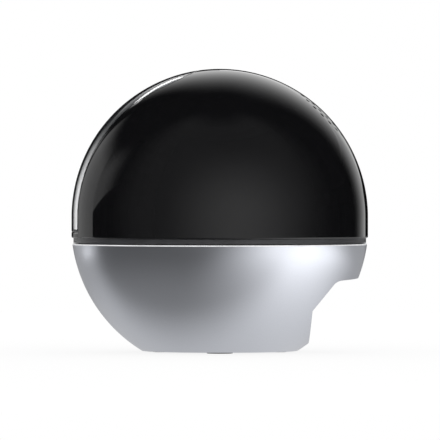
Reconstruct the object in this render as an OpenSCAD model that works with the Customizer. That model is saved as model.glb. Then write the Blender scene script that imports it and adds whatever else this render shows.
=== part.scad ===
// Indoor security camera: a glossy ball on a silver base. Millimetres, +Z up.
// The front, where the window is, faces -Y. The sockets are at the rear, +Y.
// The origin is the centre of the underside, on the surface that it stands on.

/* [Dome] */
// Radius of the dome
dome_r = 51; // [49:0.5:56]
// Height of the straight skirt under the dome's widest circle
skirt_h = 7.2; // [6:0.1:10]
// Wall of the dome
dome_wall = 2.4; // [1.8:0.1:3]
// Bevel along the dome's lower edge
dome_bevel = 0.6; // [0.2:0.1:1]
// Width of the front window
window_w = 31; // [24:1:34]
// Elevation of the middle of the window's round end, in degrees
window_top = 64; // [56:1:68]
// Height of the window's straight end above the dome's lower edge
window_low = 2.1; // [1:0.1:4]
// Gap between the window and the dome
window_gap = 0.12; // [0.05:0.01:0.2]
// Thickness of the gasket behind the window's seam
gasket_t = 0.7; // [0.5:0.1:1.2]
// How far the gasket reaches to each side of the seam
gasket_lap = 2; // [1.5:0.1:3]

/* [Base] */
// Height of the base shell
base_h = 36.9; // [36:0.1:42]
// How far the base's top edge lies inside the dome's radius
base_inset = 0.28; // [0.1:0.02:1]
// Radius of the base's flat underside
base_foot_r = 26.7; // [26:0.1:30]
// Wall of the base shell
base_wall = 2.2; // [1.6:0.1:2.6]
// Bevel along the base's top edge
base_bevel = 0.35; // [0.1:0.05:0.8]
// Thickness of the cover under the base
cover_t = 1.8; // [1.5:0.1:2.2]
// Width of the base's rim round the cover
cover_margin = 2.6; // [2:0.1:4]
// Height that the feet stand proud of the base
foot_proud = 0.4; // [0.3:0.1:1.5]
// Diameter of a foot
foot_d = 9; // [6:0.5:9.5]
// Distance from a foot to the cover's edge
foot_margin = 1.1; // [0.6:0.1:2]
// Thickness of the steel ballast plate
ballast_t = 3; // [1:0.1:3]

/* [Rear notch] */
// Distance of the socket wall's foot from the axis
port_y = 30.3; // [29.5:0.1:31.5]
// How far the socket wall leans out over its height
port_lean = 1.3; // [0:0.1:2]
// Height of the socket wall above the base's underside
port_top = 14.2; // [13.5:0.1:16]
// Slope of the wall above the sockets, in degrees
notch_slope = 50.6; // [46:0.2:60]
// Height of the overhang's root above the base's underside
overhang_z = 24.4; // [23:0.1:25.5]
// Slope of the overhang's underside, in degrees
overhang_slope = 4; // [0:1:8]
// Radius in the corner under the overhang
notch_r = 4; // [2:0.5:6]

/* [Sockets and button] */
// Distance of the power socket to the left of the middle
jack_x = 11; // [9.5:0.5:12]
// Diameter of the power plug's sleeve
jack_bore = 5.6; // [5:0.1:6]
// Diameter of the power socket's centre pin
jack_pin = 2; // [1.5:0.1:2.4]
// Depth of the power socket
jack_depth = 9.5; // [8:0.5:11]
// Distance of the card slot to the right of the middle
card_x = 8.5; // [8:0.5:11]
// Width of the memory card
card_w = 11; // [10:0.1:12]
// Length of the memory card
card_l = 15; // [13:0.5:17]
// Thickness of the memory card
card_t = 0.8; // [0.6:0.1:1]
// Gap round the memory card
card_gap = 0.2; // [0.15:0.05:0.3]
// Distance of the reset button to the left of the middle
reset_x = 2; // [1:0.5:2.5]
// Diameter of the reset button
reset_d = 2.8; // [2:0.1:3]
// Travel of the reset button
reset_travel = 0.5; // [0.3:0.1:0.8]
// Outer diameter of the threaded insert
insert_d = 9.2; // [8:0.1:11]
// Diameter of the 1/4 inch thread in the insert
thread_d = 6.35; // [5:0.05:7]
// Depth of the threaded insert
insert_h = 4.8; // [4:0.1:5]

/* [Pan bearing and drive] */
// Bore of the pan bearing
bearing_bore = 20; // [18:0.5:21]
// Outside diameter of the pan bearing
bearing_od = 27; // [26:0.5:29]
// Width of the pan bearing
bearing_w = 4; // [3.6:0.1:4.4]
// Diameter of a bearing ball
ball_d = 2; // [1.6:0.1:2.2]
// Number of bearing balls
ball_n = 18; // [12:1:20]
// Gap between the turntable's rim and the base
run_gap = 0.3; // [0.25:0.05:0.6]
// Thickness of the turntable
turntable_t = 1.6; // [1.4:0.1:2.4]
// How far the turntable's rim lies inside the dome's radius
rim_inset = 0.65; // [0.4:0.05:1.5]
// Tooth size (module) of the pan gears
pan_m = 0.8; // [0.75:0.05:0.85]
// Teeth of the pan gear
pan_n = 54; // [52:1:58]
// Teeth of the pan pinion
pan_pn = 12; // [12:1:14]
// Face width of the pan gears
pan_face = 3.4; // [2.5:0.1:3.6]
// Thickness of the bearing frame's plate
frame_t = 2.5; // [2:0.1:2.8]
// Diameter of the pan motor
motor_d = 28; // [26:0.5:29]
// Height of the pan motor
motor_h = 19; // [17:0.5:20]
// Distance of the pan motor's shaft from its middle
motor_offset = 8; // [7:0.5:8.5]
// Diameter of the pan motor's shaft
motor_shaft_d = 5; // [4:0.5:5]
// Diameter of the slip ring's case
slip_d = 12.5; // [11:0.5:13]
// Diameter of the slip ring's standing core
slip_core_d = 5.4; // [4:0.2:6]

/* [Eye and tilt drive] */
// Height of the tilt axis above the turntable's top
tilt_h = 19.8; // [19:0.1:21]
// Radius of the ball-shaped eye
eye_r = 16.5; // [16:0.1:17]
// Width of the eye along the tilt axis
eye_w = 29; // [27:0.5:29.4]
// Wall of the eye's two halves
eye_wall = 1.6; // [1.2:0.1:2]
// Distance of the eye's joint behind the tilt axis
eye_split = 4; // [3.6:0.1:5]
// Radius of the cup round the lens
cup_r = 12; // [11.6:0.1:12]
// Reach of the cup from the tilt axis
cup_reach = 27; // [25:0.5:27]
// Reach of the lens from the tilt axis
lens_reach = 34; // [31:0.5:34.5]
// Radius of the lens barrel's front
lens_r = 7.2; // [6.6:0.1:7.4]
// Radius of the lens glass
glass_r = 5.6; // [4.5:0.1:5.8]
// Number of infrared lamps
lamp_n = 6; // [4:1:8]
// Diameter of an infrared lamp
lamp_d = 2.4; // [2:0.1:2.6]
// Diameter of the tilt pins
pin_d = 5; // [4:0.1:5.4]
// Tooth size (module) of the tilt gears
tilt_m = 0.6; // [0.55:0.05:0.65]
// Teeth of the tilt gear
tilt_n = 36; // [34:1:40]
// Teeth of the tilt pinion
tilt_pn = 12; // [12:1:14]
// Face width of the tilt gears
tilt_face = 2.6; // [2:0.1:2.8]
// Diameter of the tilt motor
tilt_motor_d = 18; // [16:0.5:20]
// Length of the tilt motor
tilt_motor_h = 10; // [8:0.5:13]
// Thickness of the yoke's arms
arm_t = 2.6; // [2:0.1:3]
// Clearance between the eye's side parts and the yoke's arms
arm_gap = 0.3; // [0.2:0.05:0.5]

/* [Sound] */
// Elevation of the middle of the grille at the rear, in degrees
grille_elev = 45; // [40:1:50]
// Width of the grille
grille_w = 24; // [18:1:25]
// Height of the grille
grille_h = 19; // [14:1:22]
// Spacing of the grille's holes
grille_pitch = 3.4; // [3:0.1:4]
// Diameter of a grille hole
grille_hole = 1.5; // [1.2:0.1:2]
// Diameter of the speaker
speaker_d = 24; // [20:1:26]
// Height of the speaker
speaker_h = 5; // [4:0.5:6]

/* [Fits] */
// Radial clearance of a part that is pushed or screwed into another
fit = 0.05; // [0.02:0.01:0.1]
// Radial clearance of a shaft that turns in its bore
turn_fit = 0.08; // [0.05:0.01:0.1]
// Clearance of a part that drops into a recess
drop_fit = 0.15; // [0.1:0.01:0.25]
// Backlash between meshing gears
backlash = 0.16; // [0.1:0.02:0.2]

/* [Hidden] */
$fn = 96;
eps = 0.01;
big = 200;

// Levels of the main faces, from the surface that the camera stands on
base_z = foot_proud;
base_top = base_z + base_h;
plate_z = base_top + run_gap;
plate_top = plate_z + turntable_t;
dome_cz = plate_top + skirt_h;
tilt_z = plate_top + tilt_h;

// The base is a sphere through its top edge and the edge of its flat underside
base_top_r = dome_r - base_inset;
base_cz = (pow(base_top_r, 2) - pow(base_foot_r, 2) + pow(base_top, 2) - pow(base_z, 2)) / (2 * base_h);
base_r = sqrt(pow(base_foot_r, 2) + pow(base_cz - base_z, 2));
function outer_at(z) = sqrt(pow(base_r, 2) - pow(z - base_cz, 2));
function inner_at(z) = sqrt(pow(base_r - base_wall, 2) - pow(z - base_cz, 2));
rim_r = dome_r - rim_inset;
dome_in = dome_r - dome_wall;

// Underside of the base
floor_t = cover_t + 1.6;
floor_z = base_z + floor_t;
cover_top = base_z + cover_t;
cover_r = base_foot_r - cover_margin;
ledge_r = cover_r - 3.4;
boss_r = 2.4;
cover_boss_ring = cover_r - 3;
cover_boss_z = base_z + 4.9;
cover_screw_head_r = 1.7;
foot_sink = 0.4;
foot_ring = cover_r - foot_margin - foot_d / 2;
insert_boss_r = insert_d / 2 + 1.5;

// Main board
board_t = 1.2;
board_z = base_z + 5.2;
board_top = board_z + board_t;
board_r = inner_at(board_z) - 0.8;
board_screw_ring = (ledge_r + inner_at(floor_z)) / 2 + 0.3;
board_screw_angles = [0, 180, 270];
board_screw_head_r = 1.7;

// Capacitors on one side of the main board and the processor's shield can on the other, inside the screws
cap_r = 3.2;
cap_h = 7;
cap_seat = cap_r + 0.2;
cap_seat_h = 0.8;
cap_pitch = 7.6;
cap_x = board_screw_ring - board_screw_head_r - 1.5 - cap_seat;
cap_y = 0.8;
core_foot_r = slip_core_d / 2 + 4.3;
core_foot_h = 1.6;
can_x = core_foot_r + 2.2;
can_w = board_screw_ring - board_screw_head_r - 1.1 - can_x;
can_l = 14;
can_h = 2.4;
can_t = 0.3;
can_y = 1;
can_vent_r = 0.6;
can_vent_pitch = can_w / 4;

// Rear notch, drawn looking along the width: first number to the rear, second up
function on_slope(p, angle, run) = [p[0] + run, p[1] + run * tan(angle)];
wall_foot = [port_y, base_z];
wall_head = [port_y + port_lean, base_z + port_top];
wall_lean_deg = atan2(port_top, port_lean);
overhang_root_z = base_z + overhang_z;
corner_run = (overhang_root_z - wall_head[1]) / tan(notch_slope);
corner_pt = [wall_head[0] + corner_run, overhang_root_z];
// Distance from the corner to where its rounding starts, on both sides
function round_reach(r) = r * tan((notch_slope - overhang_slope) / 2);
// The notch's outline, drawn back by d so that the same outline gives the wall behind it
function notch_line(d) = let(
    r = notch_r + d,
    foot = [wall_foot[0] - d / sin(wall_lean_deg), wall_foot[1]],
    turn1 = (wall_lean_deg - notch_slope) / 2,
    head = wall_head + d / cos(turn1) * [-sin(wall_lean_deg - turn1), cos(wall_lean_deg - turn1)],
    turn2 = (notch_slope - overhang_slope) / 2,
    corner = corner_pt + d / cos(turn2) * [-sin(notch_slope - turn2), cos(notch_slope - turn2)],
    start = corner - round_reach(r) * [cos(notch_slope), sin(notch_slope)],
    mid = start + r * [sin(notch_slope), -cos(notch_slope)],
    steps = 8)
  [[foot[0] - 20 * cos(wall_lean_deg), foot[1] - 20 * sin(wall_lean_deg)], head,
   for (i = [0 : steps]) let(a = notch_slope + (overhang_slope - notch_slope) * i / steps)
     mid + r * [-sin(a), cos(a)],
   on_slope(corner, overhang_slope, 40), [corner[0] + 40, -20]];
function port_at(z) = port_y + port_lean * (z - base_z) / port_top;
port_wall = 1.6;
function port_in(z) = port_at(z) - port_wall;

// Sockets on the main board
jack_h = 7.8;
jack_w = 9;
jack_z = board_top + jack_h / 2;
jack_nose_r = jack_bore / 2 + 0.9;
// How far a block on the board may reach to the rear before its corner meets the round wall
function corner_y(x) = min(port_in(board_top), sqrt(pow(inner_at(board_top), 2) - x * x)) - drop_fit;
jack_face = port_at(jack_z) - 0.4;
jack_back = jack_face - jack_depth - 2;
card_z = board_top + 0.6 + card_gap;
card_face = port_at(card_z) - 0.3;
card_travel = card_l - 3;
socket_h = card_t + 2 * card_gap + 1.2;
socket_w = card_w + 2 * card_gap + 1.6;
reset_z = board_top + 2.3;
reset_face = port_at(reset_z) - 0.2;
reset_collar_r = reset_d / 2 + 0.6;
collar_t = 0.6;
collar_y = port_in(reset_z - reset_collar_r) - 0.1 - collar_t;

// Bearing frame, pan motor and pan gears
hub_gap = 0.4;
bearing_z = plate_z - hub_gap - bearing_w;
lip_t = 1.2;
frame_z = bearing_z - lip_t - 2.2;
frame_top = frame_z + frame_t;
frame_r = inner_at(frame_z) - 0.5;
house_r = bearing_od / 2 + 2.2;
frame_screw_ring = frame_r - 5.6;
frame_screw_angles = [50, 130, 230, 310];
post_r = 3.2;
hub_r = bearing_bore / 2;
gear_gap = 0.25;
pan_z = plate_z - gear_gap - pan_face;
pan_gap = pan_m * (pan_n + pan_pn) / 2;
pan_dir = -90;
pan_root = pan_m * (pan_n / 2 - 1.25);
gear_screw_ring = (house_r + pan_root) / 2 + 0.3;
gear_screw_angles = [30, 150, 270];
motor_y = -(pan_gap - motor_offset);
motor_lug = motor_d / 2 + 3.5;
motor_lug_t = 0.8;
motor_plug = 1.6;
motor_boss_r = motor_shaft_d / 2 + 2;

// Bearing: the balls run in grooves in both rings
ball_ring = (bearing_bore + bearing_od) / 4;
ball_fit = 0.06;
land = 0.45;
cage_t = 0.5;

// Slip ring
case_z = frame_z + 0.5;
core_head_z = case_z + 5;
flange_r = slip_d / 2 + 2;
flange_t = 1.2;

// Turntable
locate_h = 3;
locate_t = 1.5;
dome_boss_r = 2.8;
dome_boss_ring = dome_in - 4;
dome_boss_h = 9;
dome_boss_angles = [35, 145, 215, 325];
mic_y = -(dome_in - 4.6);
mic_r = 3;

// Window: the straight strip runs up to its round end
window_z = plate_top + window_low;

// Yoke
yoke_t = 2;
arm_in = eye_w / 2 + tilt_face + arm_gap + 0.4;
arm_out = arm_in + arm_t;
yoke_front = -9;
yoke_back = 20;
yoke_foot_x = arm_out + 5.6;
pivot_boss_r = pin_d / 2 + 4.2;
bush_r = pin_d / 2 + 1.5;
tilt_gap = tilt_m * (tilt_n + tilt_pn) / 2;
tilt_lug = tilt_motor_d / 2 + 3.4;
tilt_shaft_r = 1;
tilt_gear_x = eye_w / 2;
head_board_y = tilt_gap + tilt_m * (tilt_pn / 2 + 1) + 0.8;
head_post_x = eye_w / 2 - 2.5;
head_board_z = plate_top + yoke_t + 1;
head_board_h = 24;
head_board_t = 1.2;
head_plug_x = -3;
head_plug_w = 8;
head_plug_h = 4.2;
head_plug_t = 2.8;
head_chip_x = 11;
head_chip_z = head_board_z + 5;
head_chip_w = 6;
head_chip_h = 9;
head_chip_t = 1.2;
sink_w = 13;
sink_t = 1.4;
sink_fins = 6;
sink_fin_t = 1;
sink_fin_h = 3.4;

// Speaker, placed on the line from the dome's middle through the grille's
mesh_t = 0.3;
skin_fit = 0.08;
speaker_r = speaker_d / 2;
speaker_face = sqrt(pow(dome_in, 2) - pow(speaker_r, 2)) - 2;
speaker_ear = speaker_r + 4;
ear_seat = speaker_face - speaker_h + 1;

// Eye
cup_wall = 1.4;
cup_floor = cup_reach - 5;
lens_tail = 9;
sensor_y = 7.2;
sensor_half = 9;
sensor_t = 1.2;
eye_screw_ring = eye_r - eye_wall - 2.2;
lamp_ring = (lens_r + cup_r - cup_wall) / 2;

// Shared shapes

module disc(r, h, z = 0) translate([0, 0, z]) cylinder(r = r, h = h);

module ring(outer, inner, h, z = 0) {
  difference() {
    disc(outer, h, z);
    disc(inner, h + 2, z - 1);
  }
}

// A block from one corner to the other
module block(low, high) translate(low) cube(high - low);

// Copies round the axis at the given angles and distance
module round_at(angles, r) for (a = angles) rotate(a) translate([r, 0, 0]) children();

// A pan-head screw: its seat is at z = 0 and it points down
module screw(head_r, head_h, shank_r, length) {
  difference() {
    disc(head_r, head_h);
    for (a = [0, 90]) rotate(a)
      translate([-head_r * 0.6, -head_r * 0.12, head_h * 0.5]) cube([head_r * 1.2, head_r * 0.24, head_h]);
  }
  disc(shank_r, length + eps, -length);
}

// A round bar that turns its back to the far side: from y to y + length
module bar_y(r, y, length) translate([0, y, 0]) rotate([-90, 0, 0]) cylinder(r = r, h = length);

// A round bar along X
module bar_x(r, x, length) translate([x, 0, 0]) rotate([0, 90, 0]) cylinder(r = r, h = length);

// A lead with round bends through the given points
module lead(points, r) {
  for (i = [0 : len(points) - 2]) {
    step = points[i + 1] - points[i];
    translate(points[i]) rotate([0, acos(step[2] / norm(step)), atan2(step[1], step[0])])
      cylinder(r = r, h = norm(step), $fn = 24);
    if (i > 0) translate(points[i]) sphere(r = r, $fn = 24);
  }
}

// Outline of an involute gear, with a tooth pointing along +X
pressure = 25;
function involute(base, r) = let(a = acos(min(1, base / r))) tan(a) * 180 / PI - a;
function tooth_half(m, n, r) = let(base = m * n / 2 * cos(pressure))
  90 / n - backlash / 2 / (m * n / 2) * 180 / PI / 2
  + (tan(pressure) * 180 / PI - pressure) - involute(base, max(base, r));
function polar(r, a) = r * [cos(a), sin(a)];
module gear_outline(m, n) {
  root = m * (n / 2 - 1.25);
  base = m * n / 2 * cos(pressure);
  tip = m * (n / 2 + 0.95);
  low = max(root + 0.05 * m, base);
  flank = [for (i = [0 : 3]) low + (tip - low) * i / 3];
  polygon([for (k = [0 : n - 1]) let(c = 360 * k / n)
    each concat(
      [polar(root, c - tooth_half(m, n, low))],
      [for (r = flank) polar(r, c - tooth_half(m, n, r))],
      [for (i = [3 : -1 : 0]) polar(flank[i], c + tooth_half(m, n, flank[i]))],
      [polar(root, c + tooth_half(m, n, low))])]);
}

// Base

module notch(d = 0) {
  rotate([90, 0, 90]) translate([0, 0, -big / 2]) linear_extrude(big) polygon(notch_line(d));
}

module base_ball(r) translate([0, 0, base_cz]) sphere(r = r, $fn = 180);

module base_shell() {
  color("#a3a8b2") difference() {
    union() {
      // Wall, floor and the skin behind the notch
      difference() {
        intersection() {
          base_ball(base_r);
          block([-big, -big, base_z], [big, big, base_top]);
        }
        difference() {
          intersection() {
            base_ball(base_r - base_wall);
            block([-big, -big, floor_z], [big, big, base_top + 1]);
          }
          notch(port_wall);
        }
      }
      // Posts that carry the bearing frame
      intersection() {
        base_ball(base_r - base_wall / 2);
        round_at(frame_screw_angles, frame_screw_ring) disc(post_r, frame_z - floor_z, floor_z);
      }
      // Bosses for the cover's screws, and posts under the main board
      round_at([45, 135, 225, 315], cover_boss_ring) disc(boss_r, cover_boss_z - cover_top, cover_top);
      round_at(board_screw_angles, board_screw_ring) disc(2, board_z - floor_z + eps, floor_z - eps);
    }
    notch();
    // Bevel along the top edge
    difference() {
      block([-big, -big, base_top - base_bevel], [big, big, base_top + 1]);
      translate([0, 0, base_top - base_bevel])
        cylinder(r1 = outer_at(base_top - base_bevel), r2 = outer_at(base_top) - base_bevel, h = base_bevel);
    }
    // Opening for the cover
    disc(cover_r + drop_fit, cover_t + 1, base_z - 1);
    difference() {
      disc(ledge_r, floor_t + 1, base_z);
      round_at([45, 135, 225, 315], cover_boss_ring) disc(boss_r, big);
    }
    // Screw holes
    round_at([45, 135, 225, 315], cover_boss_ring) disc(0.9 + fit, cover_boss_z - 1 - base_z, base_z);
    round_at(frame_screw_angles, frame_screw_ring) disc(1.2 + fit, 9, frame_z - 8);
    round_at(board_screw_angles, board_screw_ring) disc(0.9 + fit, 3, board_z - 2.6);
    // Openings for the socket, the card and the reset button
    translate([-jack_x, 0, jack_z]) bar_y(jack_nose_r + drop_fit, port_in(jack_z) - 3, 10);
    translate([card_x, 0, card_z + card_t / 2])
      block([-card_w / 2 - card_gap, port_in(card_z) - 3, -card_t / 2 - card_gap],
        [card_w / 2 + card_gap, port_y + 10, card_t / 2 + card_gap]);
    translate([-reset_x, 0, reset_z]) bar_y(reset_d / 2 + 0.2, port_in(reset_z) - 3, 10);
  }
}

module base_cover() {
  color("#3b3e43") difference() {
    union() {
      disc(cover_r, cover_t, base_z);
      disc(insert_boss_r, insert_h, base_z);
    }
    disc(insert_d / 2 + fit, insert_h + 2, base_z - 1);
    round_at([0, 90, 180, 270], foot_ring) disc(foot_d / 2 + fit, foot_sink + 1, base_z - 1);
    round_at([45, 135, 225, 315], cover_boss_ring) {
      disc(0.9 + drop_fit, cover_t + 2, base_z - 1);
      disc(cover_screw_head_r + drop_fit, 2, base_z - 1);
    }
  }
}

module foot_pads() {
  color("#26272a") round_at([0, 90, 180, 270], foot_ring) disc(foot_d / 2, foot_proud + foot_sink);
}

module tripod_insert() {
  color("#b89a54") difference() {
    disc(insert_d / 2, insert_h, base_z);
    disc(thread_d / 2, insert_h + 2, base_z - 1);
  }
}

module ballast_plate() {
  color("#8c9096")
    ring(cover_boss_ring - boss_r - drop_fit, insert_boss_r + drop_fit, ballast_t, cover_top);
}

module cover_screws() {
  color("#6d7076") round_at([45, 135, 225, 315], cover_boss_ring) translate([0, 0, base_z + 1])
    mirror([0, 0, 1]) screw(cover_screw_head_r, 0.8, 0.9, cover_boss_z - base_z - 2.4);
}

module main_board() {
  color("#1f5c3a") difference() {
    disc(board_r, board_t, board_z);
    block([-big, port_in(board_z) - 1.2, 0], [big, big, big]);
    round_at(board_screw_angles, board_screw_ring) disc(0.9 + drop_fit, board_t + 2, board_z - 1);
  }
}

module board_screws() {
  color("#9a9da3") round_at(board_screw_angles, board_screw_ring) translate([0, 0, board_top])
    screw(board_screw_head_r, 1, 0.9, board_t + 2.2);
}

module power_socket() {
  color("#2b2c30") translate([-jack_x, 0, jack_z]) {
    difference() {
      union() {
        block([-jack_w / 2, jack_back, -jack_h / 2], [jack_w / 2, corner_y(jack_x + jack_w / 2), jack_h / 2]);
        bar_y(jack_nose_r, jack_back + 1, jack_face - jack_back - 1);
      }
      bar_y(jack_bore / 2, jack_face - jack_depth, jack_depth + 1);
    }
    bar_y(jack_pin / 2, jack_face - jack_depth - 1, jack_depth);
  }
}

module card_socket() {
  back = card_face - card_l - 0.5;
  color("#8f9298") translate([card_x, 0, board_top]) difference() {
    block([-socket_w / 2, back, 0], [socket_w / 2, corner_y(card_x + socket_w / 2), socket_h]);
    block([-card_w / 2 - card_gap, back + 0.3, 0.6],
      [card_w / 2 + card_gap, port_y + 5, 0.6 + card_t + 2 * card_gap]);
  }
}

module memory_card() {
  color("#202124") translate([card_x, card_face - card_l, card_z]) difference() {
    translate([-card_w / 2, 0, 0]) cube([card_w, card_l, card_t]);
    translate([card_w / 2 - 1.3, -1, -1]) cube([3, 6, 3]);
  }
}

module reset_button() {
  color("#d3d5d9") translate([-reset_x, 0, reset_z]) {
    bar_y(reset_d / 2, collar_y, reset_face - collar_y);
    bar_y(reset_collar_r, collar_y, collar_t);
    bar_y(0.6, collar_y - reset_travel - 0.4, reset_travel + 0.5);
  }
}

module reset_switch() {
  front = collar_y - reset_travel - 0.2;
  color("#6a6d72") translate([-reset_x, 0, 0]) difference() {
    block([-2.1, front - 3, board_top], [2.1, front, board_top + 4]);
    translate([0, 0, reset_z]) bar_y(0.6 + turn_fit, front - 2, 3);
  }
}

module shield_can() {
  color("#b9bcc2") difference() {
    block([can_x, can_y - can_l / 2, board_top], [can_x + can_w, can_y + can_l / 2, board_top + can_h]);
    block([can_x + can_t, can_y - can_l / 2 + can_t, board_top - 1],
      [can_x + can_w - can_t, can_y + can_l / 2 - can_t, board_top + can_h - can_t]);
    for (i = [-1.5 : 1.5]) for (j = [-1 : 1])
      translate([can_x + can_w / 2 + i * can_vent_pitch, can_y + j * can_vent_pitch, 0])
        disc(can_vent_r, board_top + can_h + 1);
  }
}

module capacitors() {
  color("#3a4a66") for (s = [-0.5, 0.5]) translate([-cap_x, cap_y + s * cap_pitch, board_top]) {
    disc(cap_r, cap_h);
    block([-cap_seat, -cap_seat, 0], [cap_seat, cap_seat, cap_seat_h]);
  }
}

module slip_ring_core() {
  color("#c9b26a") {
    disc(core_foot_r, core_foot_h, board_top);
    disc(slip_core_d / 2, core_head_z - board_top, board_top);
  }
}

// Frame, motor and bearing

module pan_motor() {
  color("#a9adb3") translate([0, motor_y, 0]) difference() {
    union() {
      disc(motor_d / 2, motor_h, frame_z - motor_h);
      translate([0, 0, frame_z - motor_lug_t]) {
        block([-motor_lug, -3.5, 0], [motor_lug, 3.5, motor_lug_t]);
        for (s = [-1, 1]) translate([s * motor_lug, 0, 0]) cylinder(r = 3.5, h = motor_lug_t);
      }
      translate([0, -motor_offset, 0]) disc(motor_boss_r, 1.5, frame_z - eps);
      block([-motor_d / 2 - motor_plug, -5, frame_z - motor_h], [-motor_d / 2 + 3, 5, frame_z - motor_h + 5]);
    }
    translate([0, -motor_offset, 0]) disc(motor_shaft_d / 2 + turn_fit, 8, frame_z - 5);
    for (s = [-1, 1]) translate([s * motor_lug, 0, 0]) disc(1.2 + drop_fit, 3, frame_z - 2);
  }
}

module motor_screws() {
  color("#6d7076") for (s = [-1, 1]) translate([s * motor_lug, motor_y, frame_z - motor_lug_t])
    mirror([0, 0, 1]) screw(2.2, 1.4, 1.2, motor_lug_t + 2);
}

module motor_lead() {
  x = -motor_d / 2 - motor_plug;
  color("#b33a32") for (i = [-2 : 2]) translate([0, motor_y + i * 1.3, 0])
    lead([[x, 0, frame_z - motor_h + 2.5], [x - 1.4, 0, frame_z - motor_h + 2.5], [x - 1.4, 0, board_top]], 0.45);
}

module bearing_frame() {
  color("#4a4d52") difference() {
    union() {
      disc(frame_r, frame_t, frame_z);
      disc(house_r, bearing_z + bearing_w - 0.1 - frame_z, frame_z);
    }
    disc(bearing_od / 2 - 1.1, big);
    disc(bearing_od / 2 + fit, big, bearing_z);
    // Motor shaft, lugs, lead holes and the four mounting screws
    translate([0, -pan_gap, 0]) disc(motor_boss_r + drop_fit, frame_t + 2, frame_z - 1);
    for (s = [-1, 1]) translate([s * motor_lug, motor_y, 0]) disc(1.2 + fit, 2.1 + 1, frame_z - 1);
    round_at(frame_screw_angles, frame_screw_ring) disc(1.2 + drop_fit, frame_t + 2, frame_z - 1);
    round_at([0, 90, 180], (house_r + frame_r) / 2) disc(7, frame_t + 2, frame_z - 1);
  }
}

module frame_screws() {
  color("#6d7076") round_at(frame_screw_angles, frame_screw_ring) translate([0, 0, frame_top])
    screw(2.2, 1.3, 1.2, frame_t + 6.5);
}

// The groove that the balls run in, cut into both rings
module ball_groove() {
  translate([0, 0, bearing_z + bearing_w / 2])
    rotate_extrude() translate([ball_ring, 0]) circle(r = ball_d / 2 + ball_fit, $fn = 48);
}

module bearing_outer_ring() {
  color("#c4c8ce") difference() {
    ring(bearing_od / 2, ball_ring + land, bearing_w, bearing_z);
    ball_groove();
  }
}

module bearing_inner_ring() {
  color("#c4c8ce") difference() {
    ring(ball_ring - land, hub_r + fit, bearing_w, bearing_z);
    ball_groove();
  }
}

module bearing_balls() {
  color("#dfe2e6") round_at([for (i = [0 : ball_n - 1]) 360 * i / ball_n], ball_ring)
    translate([0, 0, bearing_z + bearing_w / 2]) sphere(r = ball_d / 2, $fn = 32);
}

module bearing_cage() {
  color("#b08d3e") difference() {
    ring(ball_ring + cage_t / 2, ball_ring - cage_t / 2, bearing_w * 0.7, bearing_z + bearing_w * 0.15);
    round_at([for (i = [0 : ball_n - 1]) 360 * i / ball_n], ball_ring)
      translate([0, 0, bearing_z + bearing_w / 2]) rotate([0, 90, 0])
        translate([0, 0, -2]) cylinder(r = ball_d / 2 + 0.08, h = 4, $fn = 32);
  }
}

module pan_shaft() {
  color("#d9dce0") translate([0, -pan_gap, 0])
    disc(motor_shaft_d / 2, pan_z + pan_face + eps - frame_z + 4, frame_z - 4);
}

module pan_pinion() {
  color("#e6e3da") translate([0, -pan_gap, 0]) difference() {
    translate([0, 0, pan_z]) rotate(pan_dir + 180 + 180 / pan_pn) linear_extrude(pan_face) gear_outline(pan_m, pan_pn);
    disc(motor_shaft_d / 2 + 0.02, pan_face + 2, pan_z - 1);
  }
}

// Head, which turns on the bearing

module turntable() {
  color("#34363a") difference() {
    union() {
      disc(rim_r, turntable_t, plate_z);
      // Ring that centres the dome
      difference() {
        ring(dome_in - drop_fit, dome_in - drop_fit - locate_t, locate_h, plate_top);
        round_at(dome_boss_angles, dome_boss_ring) disc(dome_boss_r + 3, big, plate_top);
        block([-window_w / 2 - gasket_lap - 1, -big, plate_top], [window_w / 2 + gasket_lap + 1, 0, big]);
      }
      // Hub through the bearing, with its shoulder
      disc(ball_ring - land, hub_gap + eps, plate_z - hub_gap);
      disc(hub_r, plate_z - bearing_z + 2.2, bearing_z - 2.2);
      // Holder for the microphone
      block([-mic_r - 1.2, mic_y - 1.8, plate_top - eps], [mic_r + 1.2, mic_y + 1.8, plate_top + 2 * mic_r + 0.6]);
    }
    disc(slip_d / 2 + fit, big);
    round_at(dome_boss_angles, dome_boss_ring) disc(1.2 + drop_fit, turntable_t + 2, plate_z - 1);
    round_at(gear_screw_angles, gear_screw_ring) disc(0.8 + fit, turntable_t - 0.3 + 1, plate_z - 1);
    for (x = [-1, 1]) for (y = [yoke_front + 3, yoke_back - 4])
      translate([x * (arm_out + 2.9), y, 0]) disc(1.2 + fit, big, plate_z - 1);
    translate([0, 0, plate_top + mic_r + 0.3]) bar_y(mic_r + fit, mic_y - 2.8, 5.6);
  }
}

module hub_nut() {
  color("#9a9da3") ring(bearing_od / 2 - 1.4, hub_r + fit, 1.8, bearing_z - 1.8);
}

module pan_gear() {
  color("#e6e3da") difference() {
    union() {
      translate([0, 0, pan_z]) rotate(pan_dir) linear_extrude(pan_face) gear_outline(pan_m, pan_n);
      disc(pan_root, gear_gap + pan_face, pan_z);
    }
    disc(house_r + 0.6, big);
    round_at(gear_screw_angles, gear_screw_ring) {
      disc(0.8 + fit, big);
      disc(1.4 + fit, pan_z + 1.2, 0);
    }
  }
}

module gear_screws() {
  color("#6d7076") round_at(gear_screw_angles, gear_screw_ring) translate([0, 0, pan_z + 1.2])
    mirror([0, 0, 1]) screw(1.4, 0.9, 0.8, plate_z + turntable_t - 0.5 - pan_z - 1.2);
}

module slip_ring_case() {
  color("#d8d8d4") difference() {
    union() {
      disc(slip_d / 2, plate_top - case_z + eps, case_z);
      disc(flange_r, flange_t, plate_top);
    }
    disc(slip_core_d / 2 + turn_fit, core_head_z + 0.4);
  }
}

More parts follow.
